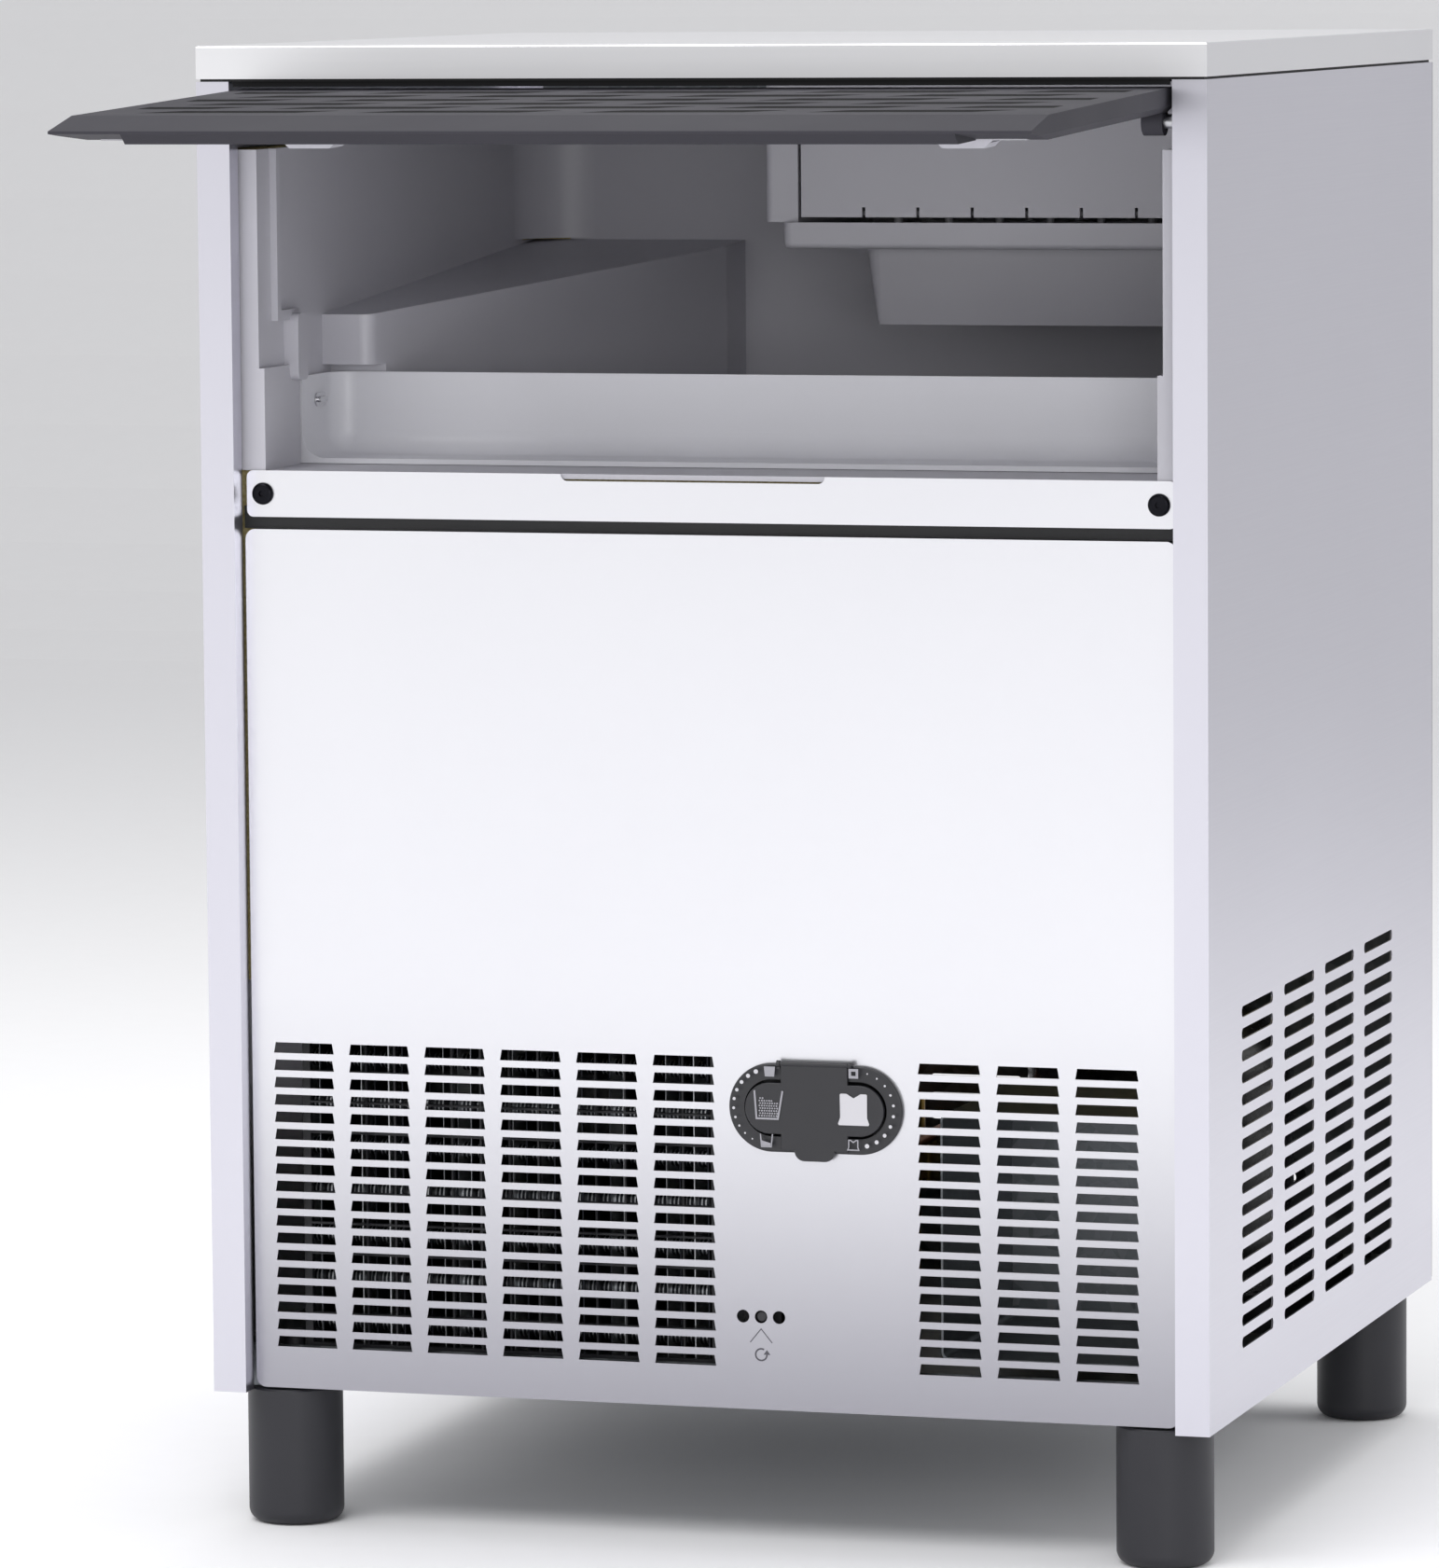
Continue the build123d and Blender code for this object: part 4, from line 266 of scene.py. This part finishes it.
def finnedBlock(name, look):
    # condenser block: thin upright aluminium fins, with painted shade between them in the deep colour
    material, tree, shader = startMaterial(name, look)
    across = objectAxis(tree, "X")
    turns = addNode(tree, "Math", {0: across, 1: 1 / look["pitch"]}, operation="MULTIPLY").outputs[0]
    part = addNode(tree, "Math", {0: turns}, operation="FRACT").outputs[0]
    edge = addNode(tree, "Math", {0: part, 1: look["fin"]}, operation="LESS_THAN").outputs[0]
    twoTone(tree, shader, edge, look)
    relief(tree, shader, edge, look["finDepth"])
    return material


finishes = {
    # one stainless steel in three copies: besides their brush directions, the top's colour is painted lighter
    # and the side's painted darker and bluer than the front's, as painted light and shade
    "stainless_top": brushedSteel("brushedSteelTopPaintedLight", "x", {
        **steelLook, "colour": "#ececee", "deep": "#e6e6e9",
    }),
    "stainless_side": brushedSteel("brushedSteelSidePaintedShade", "y", {
        **steelLook, "colour": "#d3d2db", "deep": "#cdccd5",
    }),
    "stainless_front": brushedSteel("brushedSteelFront", "x", {
        **steelLook, "lowShade": "#9b9aa2", "shadeTop": 0.34, "shadeLow": 0.03,
    }),
    "galvanised_steel": galvanisedSteel("galvanisedSteel", zincLook),
    "zinc_screw": wornMetal("zincPlatedSteel", {"colour": "#b9bbb8", "deep": "#93968f", "roughness": 0.34}),
    "black_screw": wornMetal("blackenedSteel", {"colour": "#25252a", "deep": "#151518", "roughness": 0.3}),
    "spring_steel": wornMetal("springSteel", {"colour": "#dcdcde", "deep": "#b8b8bc", "roughness": 0.2}),
    "steel_pin": wornMetal("turnedSteel", {"colour": "#c4c5c8", "deep": "#a3a4a8", "roughness": 0.28}),
    "tinned_copper": wornMetal("tinnedCopper", {"colour": "#cfc9c0", "deep": "#b3a99b", "roughness": 0.34}),
    "copper": wornMetal("drawnCopper", {"colour": "#d08c66", "deep": "#9c5c3c", "roughness": 0.28}),
    "brass": wornMetal("castBrass", {"colour": "#d0ac5e", "deep": "#a3813d", "roughness": 0.3}),
    "black_enamel": paintedMetal("blackEnamel", {
        "colour": "#1a1a1c", "deep": "#131315", "roughness": 0.24, "peel": 2.5 * mm,
    }),
    "circuit_board": paintedMetal("glassEpoxyBoard", {
        "colour": "#1e6a36", "deep": "#175329", "roughness": 0.3, "peel": 3 * mm,
    }),
    "fin_aluminium": finnedBlock("aluminiumFins", finLook),
    "foam": foamedPlastic("polyurethaneFoam", foamLook),
    "black_rubber": mouldedPlastic("epdmRubber", {
        "colour": "#1b1b1d", "deep": "#141416", "roughness": 0.7, "ior": 1.52,
        "grain": 0.8 * mm, "grainDepth": 0.02 * mm,
    }),
    "dark_plastic": mouldedPlastic("blackPolypropylene", {
        "colour": "#0e0e11", "deep": "#0a0a0c", "roughness": 0.6, "sheen": 0.2, "ior": 1.49,
        "grain": 0.7 * mm, "grainDepth": 0.01 * mm,
    }),
    "bin_abs": mouldedPlastic("greyAbs", {
        "colour": "#c2c1c8", "deep": "#bab9c0", "roughness": 0.38,
        "grain": 1.1 * mm, "grainDepth": 0.012 * mm,
    }),
    "white_abs": mouldedPlastic("whiteAbs", {
        "colour": "#e2e2e7", "deep": "#dadadf", "roughness": 0.32,
        "grain": 1.1 * mm, "grainDepth": 0.01 * mm,
    }),
    "door_plastic": mouldedPlastic("charcoalAbs", {
        "colour": "#3b3a40", "deep": "#36353b", "roughness": 0.6, "sheen": 0.12,
        "grain": 0.9 * mm, "grainDepth": 0.012 * mm,
    }),
    "black_plastic": mouldedPlastic("blackAbs", {
        "colour": "#222227", "deep": "#1c1c20", "roughness": 0.38,
        "grain": 0.7 * mm, "grainDepth": 0.008 * mm,
    }),
    "leg_plastic": mouldedPlastic("blackNylon", {
        "colour": "#2b2b30", "deep": "#26262b", "roughness": 0.45, "sheen": 0.35,
        "grain": 0.8 * mm, "grainDepth": 0.01 * mm,
    }),
}
for name, node in nodes.items():
    node.data.materials.clear()
    node.data.materials.append(finishes[slotOf[name]])
print("finishes on:", len(finishes))


# Plates thinner than a millimetre, for the printed marks and the painted shade in the door's slats.

def newPiece(name, points, faces, material):
    mesh = bpy.data.meshes.new(name)
    mesh.from_pydata(points, [], faces)
    mesh.update()
    mesh.materials.append(material)
    piece = bpy.data.objects.new(name, mesh)
    bpy.context.scene.collection.objects.link(piece)
    return piece


def thinPlates(name, shapes, origin, across, up, depth, material, body):
    # each closed outline (u, v), in millimetres, is the face of a plate: origin + u * across + v * up
    across, up = np.asarray(across, float), np.asarray(up, float)
    outward = np.cross(across, up)
    points, faces, count = [], [], 0
    for shape in shapes:
        shape = np.asarray(shape, float) * mm
        size = len(shape)
        face = np.asarray(origin) + shape[:, :1] * across + shape[:, 1:] * up
        points += [face, face - depth * outward]
        near = count + np.arange(size)
        nextNear = np.roll(near, -1)
        faces.append(near.tolist())
        faces.append((near + size)[::-1].tolist())
        faces += np.stack([near, near + size, nextNear + size, nextNear], -1).tolist()
        count += 2 * size
    piece = newPiece(name, np.vstack(points).tolist(), faces, material)
    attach(piece, body)


def disc(x, z, radius, sides=20):
    # corners of a regular outline: x + r cos a, z + r sin a
    angle = np.linspace(0, 2 * pi, sides, endpoint=False)
    return np.stack([x + radius * np.cos(angle), z + radius * np.sin(angle)], -1)


def stroke(points, width, closed=False):
    # a line of even width: each point p goes to p +- w / 2 * the mitre of its two neighbours' normals
    points = np.asarray(points, float)
    if closed:
        ahead, behind = np.roll(points, -1, 0) - points, points - np.roll(points, 1, 0)
    else:
        steps = np.diff(points, axis=0)
        ahead, behind = np.vstack([steps, steps[-1:]]), np.vstack([steps[:1], steps])
    mitre = sum(np.stack([-d[:, 1], d[:, 0]], -1) / np.hypot(d[:, :1], d[:, 1:]) for d in (ahead, behind))
    mitre *= width / np.sum(mitre * mitre, axis=1)[:, None]
    left, right = points + mitre, points - mitre
    if not closed:
        return [np.vstack([right, left[::-1]])]
    nextLeft, nextRight = np.roll(left, -1, 0), np.roll(right, -1, 0)
    return [np.stack(corners) for corners in zip(right, nextRight, nextLeft, left)]


# Printed marks: icons on the flip cover and its bezel, dots round both ends, a sign below the reset holes.
# Their sizes are millimetres, from the middle of the bezel or of the reset button.

ink = {"clear": 0.03, "thick": 0.05}  # its face before the plastic or steel, and its thickness, both thin


def inkMaterial(name, colour, deep):
    # pad printing ink, silky and almost flat
    return mouldedPlastic(name, {
        "colour": colour, "deep": deep, "roughness": 0.5, "ior": 1.5,
        "grain": 0.4 * mm, "grainDepth": 0.003 * mm,
    })


whiteInk = inkMaterial("whiteInk", "#c9c8cd", "#bebdc3")
greyInk = inkMaterial("greyInk", "#9a99a0", "#908f96")
darkInk = inkMaterial("darkInk", "#4a4950", "#434249")


def inkPrint(name, shapes, middle, backing, material, body):
    # ink on the front of the backing's box, which looks towards -Y
    frontY = backing[0][1] - ink["clear"] * mm
    origin = (middle[0], frontY, middle[1])
    thinPlates(name, shapes, origin, (1, 0, 0), (0, 0, 1), ink["thick"] * mm, material, body)


def frontMiddle(box):
    # (x, z) of the middle of a box
    return ((box[0][0] + box[1][0]) / 2, (box[0][2] + box[1][2]) / 2)


coverBox, bezelBox, buttonBox, panelBox = (
    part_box(node) for node in ("control_cover", "control_bezel", "reset_button", "front_panel")
)
controlMiddle = frontMiddle(bezelBox)
resetMiddle = frontMiddle(buttonBox)

coverMarks = {
    "bucket": [(-35.4, 9.2), (-34.2, -7.0), (-21.4, -7.0), (-18.6, 9.2)],
    "bucketLine": 1.1,
    "iceTop": (5.2, 2.6),  # left and right height of the heap
    "iceLeft": -33.0, "iceRight": -21.4, "iceLow": -5.4,
    "iceCube": 1.0,  # width of a cube
    "iceStep": 1.45,  # from cube to cube
    "iceRows": 8, "iceStagger": 0.3,  # every other row is moved by this share of a step
    "iceLean": 0.11,  # how much wider the bucket gets from row to row
    "cube": [(15.6, 8.4), (16.2, 8.9), (19.6, 8.9), (23.8, 6.4), (28.0, 8.9), (31.2, 8.9), (31.8, 8.4),
             (31.8, -4.8), (33.1, -8.4), (32.6, -9.3), (15.0, -9.3), (14.5, -8.4), (15.8, -4.8)],
}


def iceHeap(marks):
    # small cubes of 4 to 6 corners in staggered rows, up to a top line that slopes from left to right
    cubes = []
    left, right = marks["iceLeft"], marks["iceRight"]
    leftTop, rightTop = marks["iceTop"]
    radius = marks["iceCube"] * 0.6
    for row in range(marks["iceRows"]):
        z = marks["iceLow"] + row * marks["iceStep"]
        for column in range(marks["iceRows"]):
            x = left + (column + marks["iceStagger"] * (row % 2)) * marks["iceStep"]
            top = leftTop + (x - left) / (right - left) * (rightTop - leftTop)
            if z < top and x + marks["iceCube"] < right + marks["iceLean"] * row:
                cubes.append(disc(x + radius, z, radius, 4 + (3 * row + 5 * column) % 3))
    return cubes


bucket = stroke(coverMarks["bucket"], coverMarks["bucketLine"])
inkPrint("bucketPrint", bucket + iceHeap(coverMarks), controlMiddle, coverBox, greyInk, "cover")
inkPrint("cubePrint", [coverMarks["cube"][::-1]], controlMiddle, coverBox, whiteInk, "cover")

bezelMarks = {
    "ring": 21.6, "ends": 26.2,  # radius of the row of dots, and its middle left and right of the bezel's
    "leftArc": (112, 241), "rightArc": (74, -75),  # degrees
    "dots": 10, "large": 1.3, "small": 0.45,  # the dots' number and their radii
    "beaker": [(-28.9, 17.4), (-23.4, 17.4), (-22.8, 23.2), (-29.5, 23.2)],
    "level": [(-31.0, -22.9), (-25.6, -22.9), (-25.3, -21.2), (-31.2, -19.6)],
    "cup": [(-31.8, -15.8), (-31.2, -23.2), (-25.4, -23.2), (-24.6, -15.8)],
    "square": [(21.8, 18.6), (26.0, 18.6), (26.0, 22.6), (21.8, 22.6)],
    "tub": [(20.9, -21.8), (20.3, -23.4), (26.9, -23.4), (26.3, -21.8), (26.3, -17.8),
            (25.2, -17.8), (23.6, -19.0), (22.0, -17.8), (20.9, -17.8)],
    "fineLine": 0.7, "boldLine": 1.5,
}


def dotArcs(marks):
    # an arc of dots round each end of the bezel, which shrink from the first to the last on the left
    dots = []
    for side, key in ((-1, "leftArc"), (1, "rightArc")):
        radii = np.linspace(marks["large"], marks["small"], marks["dots"])[::-side]
        angles = np.radians(np.linspace(*marks[key], marks["dots"]))
        for angle, radius in zip(angles, radii):
            x = side * marks["ends"] + marks["ring"] * cos(angle)
            dots.append(disc(x, marks["ring"] * sin(angle), radius, 16))
    return dots


smallIcons = [bezelMarks["beaker"], bezelMarks["level"]]
smallIcons += stroke(bezelMarks["cup"], bezelMarks["fineLine"])
smallIcons += stroke(bezelMarks["square"], bezelMarks["boldLine"], closed=True)
smallIcons += stroke(bezelMarks["tub"], bezelMarks["fineLine"], closed=True)
inkPrint("dotPrint", dotArcs(bezelMarks), controlMiddle, bezelBox, whiteInk, "cabinet")
inkPrint("iconPrint", smallIcons, controlMiddle, bezelBox, greyInk, "cabinet")

resetMarks = {
    "caret": [(-6.6, -15.0), (0.0, -7.0), (6.6, -15.0)],
    "caretLine": 0.6,
    "arrowMiddle": -22.0, "arrowRadius": 3.4, "arrowTurn": (60, 360), "arrowLine": 1.0,  # the turn in degrees
    "headHalf": 2.1, "headLength": 2.8,
}


def turnArrow(marks):
    # an arc r (cos a, sin a) about its middle, with a triangle at its end
    arc = np.radians(np.linspace(*marks["arrowTurn"], 25))
    height = marks["arrowMiddle"] + marks["arrowRadius"] * np.sin(arc)
    line = np.stack([marks["arrowRadius"] * np.cos(arc), height], -1)
    corners = ((-marks["headHalf"], 0.0), (marks["headHalf"], 0.0), (0.0, marks["headLength"]))
    return stroke(line, marks["arrowLine"]) + [[line[-1] + corner for corner in corners]]


caret = stroke(resetMarks["caret"], resetMarks["caretLine"])
inkPrint("resetPrint", caret + turnArrow(resetMarks), resetMiddle, panelBox, darkInk, "cabinet")
print("printed marks on")


# Painted shade: matt black plates in the staggered shallow slats of the door's outer face, standing in for
# the shade in those recesses.

slatShadeBlack = mouldedPlastic("paintedSlatShade", {
    "colour": "#0b0b0d", "deep": "#08080a", "roughness": 0.7, "sheen": 0.05,
    "grain": 0.7 * mm, "grainDepth": 0.003 * mm,
})
doorHinge = next(joint["pos_m"] for joint in record["behaviour"]["joints"] if joint["name"] == "door_swing")
doorFace = {
    "droop": 2.0, "face": 19.0,  # degrees below level, then millimetres above the hinge
    "rows": 6, "first": 40.0, "pitch": 38.0, "width": 20.0,  # rows from the hinge to the door's free edge
    "step": 128.0, "length": 112.0, "columns": 4,  # from slat to slat, and columns each side of the middle
    "edge": 263.0,  # half the width of the field of slats
    "sunk": 0.1, "thick": 0.6, "play": 0.15,
}


def slatShadePlates(look):
    # leaning four-sided outlines in rows, every other row moved by half a step, cut off at the field's edge
    slatShades = []
    half = look["width"] / 2 - look["play"]
    end = look["length"] / 2
    lean = look["width"]
    leaning = np.array([(-end, -half), (end - lean, -half), (end, half), (lean - end, half)])
    for row in range(look["rows"]):
        for column in range(-look["columns"], look["columns"] + 1):
            x = (column + (row % 2) / 2) * look["step"]
            slat = leaning + (x, -look["first"] - row * look["pitch"])
            slat[:, 0] = np.clip(slat[:, 0], -look["edge"], look["edge"])
            if np.ptp(slat[:, 0]) > lean:
                slatShades.append(slat)
    return slatShades


droop = radians(doorFace["droop"])
outOfDoor = np.array([0.0, -sin(droop), cos(droop)])
alongDoor = (0, cos(droop), sin(droop))
doorOrigin = np.asarray(doorHinge) + (doorFace["face"] - doorFace["sunk"]) * mm * outOfDoor
# black plates of painted shade, just under the door's face in its slats
slatShades, shadePlateThick = slatShadePlates(doorFace), doorFace["thick"] * mm
thinPlates("slatShadePlates", slatShades, doorOrigin, (1, 0, 0), alongDoor, shadePlateThick, slatShadeBlack, "door")
print("door inlays on")


# Studio: seamless paper, softboxes and a pale sky.

studio = {
    "paper": "#f4f4f6", "paperDeep": "#f2f2f4", "fibres": 40.0,  # fibre clouds in a metre
    "reach": 14.0, "rise": 6.0, "bend": 3.0, "behind": 5.0,  # metres
    "sky": "#ffffff", "skyStrength": 0.6,
}


def paperMaterial():
    # matt seamless studio paper
    material, tree, shader = startMaterial("studioPaper", {"colour": studio["paper"], "roughness": 0.9})
    fibres = objectPattern(tree, "TexNoise", (studio["fibres"],) * 3, Detail=3.0).outputs["Fac"]
    tree.links.new(tint(tree, fibres, studio["paperDeep"], studio["paper"]), shader.inputs["Base Color"])
    return material


def sweptSurface(name, profile, start, end, material):
    # a (y, z) profile carried straight along X: point (x, y(s), z(s)), quads between neighbouring points
    x = np.array([start, end])
    grid = np.stack(np.broadcast_arrays(x[:, None], profile[None, :, 0], profile[None, :, 1]), -1)
    index = np.arange(grid.shape[0] * grid.shape[1]).reshape(grid.shape[:2])
    quads = np.stack([index[:-1, :-1], index[1:, :-1], index[1:, 1:], index[:-1, 1:]], -1)
    return newPiece(name, grid.reshape(-1, 3).tolist(), quads.reshape(-1, 4).tolist(), material)


# the paper runs level, then up a quarter turn behind the cabinet: (y, z) = middle + bend (cos a, sin a)
quarter = np.linspace(-pi / 2, 0, 24)
bendY = studio["behind"] + studio["bend"] * np.cos(quarter)
bendZ = studio["bend"] + studio["bend"] * np.sin(quarter)
frontEdge = [(-studio["reach"], 0.0)]
topEdge = [(studio["behind"] + studio["bend"], studio["rise"])]
paper = np.vstack([frontEdge, np.stack([bendY, bendZ], -1), topEdge])
sweptSurface("studioFloor", paper, -studio["reach"], studio["reach"], paperMaterial())

lamps = {
    # name: place and aim in metres, width and height in metres, watts
    "frontCard": ((-0.85, -2.5, 0.52), (-0.1, 0.0, 0.45), 2.3, 0.95, 3.5),
    "keySoftbox": ((-0.6, -2.6, 3.3), (0.0, 0.0, 0.4), 3.0, 1.8, 75.0),
    "fillSoftbox": ((1.9, -4.6, 1.15), (0.0, 0.0, 0.7), 1.8, 1.2, 34.0),
    "leftSoftbox": ((-3.4, -1.2, 2.2), (0.0, 0.0, 0.45), 2.4, 2.4, 18.0),
    "rightSoftbox": ((3.8, 0.8, 2.2), (0.0, 0.0, 0.6), 2.6, 2.6, 45.0),
    "overheadSoftbox": ((0.0, 0.8, 3.6), (0.0, 0.0, 0.4), 3.0, 3.0, 50.0),
}
for name, (place, aim, width, height, watts) in lamps.items():
    lamp = bpy.data.lights.new(name, "AREA")
    lamp.shape = "RECTANGLE"
    lamp.size, lamp.size_y, lamp.energy = width, height, watts
    holder = bpy.data.objects.new(name, lamp)
    holder.location = place
    holder.rotation_euler = (Vector(aim) - Vector(place)).to_track_quat("-Z", "Y").to_euler()
    bpy.context.scene.collection.objects.link(holder)

world = bpy.data.worlds.new("studioWorld")
world.use_nodes = True
sky = world.node_tree.nodes["Background"]
sky.inputs["Color"].default_value = linear(studio["sky"])
sky.inputs["Strength"].default_value = studio["skyStrength"]
bpy.context.scene.world = world
bpy.context.scene.view_settings.view_transform = "Standard"


# Camera, a little to the right of the front and just above the worktop.

shot = {
    "place": (1.438, -4.865, 0.928),
    "yaw": -17.3, "pitch": 5.75, "roll": -0.45,  # degrees: to the left, down, clockwise
    "lens": 193.8, "sensor": 36.0,
}


def aimCamera():
    # forward f = (sin y cos p, cos y cos p, -sin p); right and up are turned by the roll
    yaw, pitch, roll = (radians(shot[key]) for key in ("yaw", "pitch", "roll"))
    forward = Vector((sin(yaw) * cos(pitch), cos(yaw) * cos(pitch), -sin(pitch)))
    right = Vector((cos(yaw), -sin(yaw), 0))
    up = right.cross(forward)
    tilted = right * cos(roll) + up * sin(roll)
    upright = up * cos(roll) - right * sin(roll)
    camera = bpy.data.objects.new("camera", bpy.data.cameras.new("camera"))
    turned = Matrix((tilted, upright, -forward)).transposed().to_4x4()
    camera.matrix_world = Matrix.Translation(shot["place"]) @ turned
    camera.data.lens = shot["lens"]
    camera.data.sensor_width = shot["sensor"]
    bpy.context.scene.collection.objects.link(camera)
    bpy.context.scene.camera = camera


aimCamera()
print("studio and camera ready")
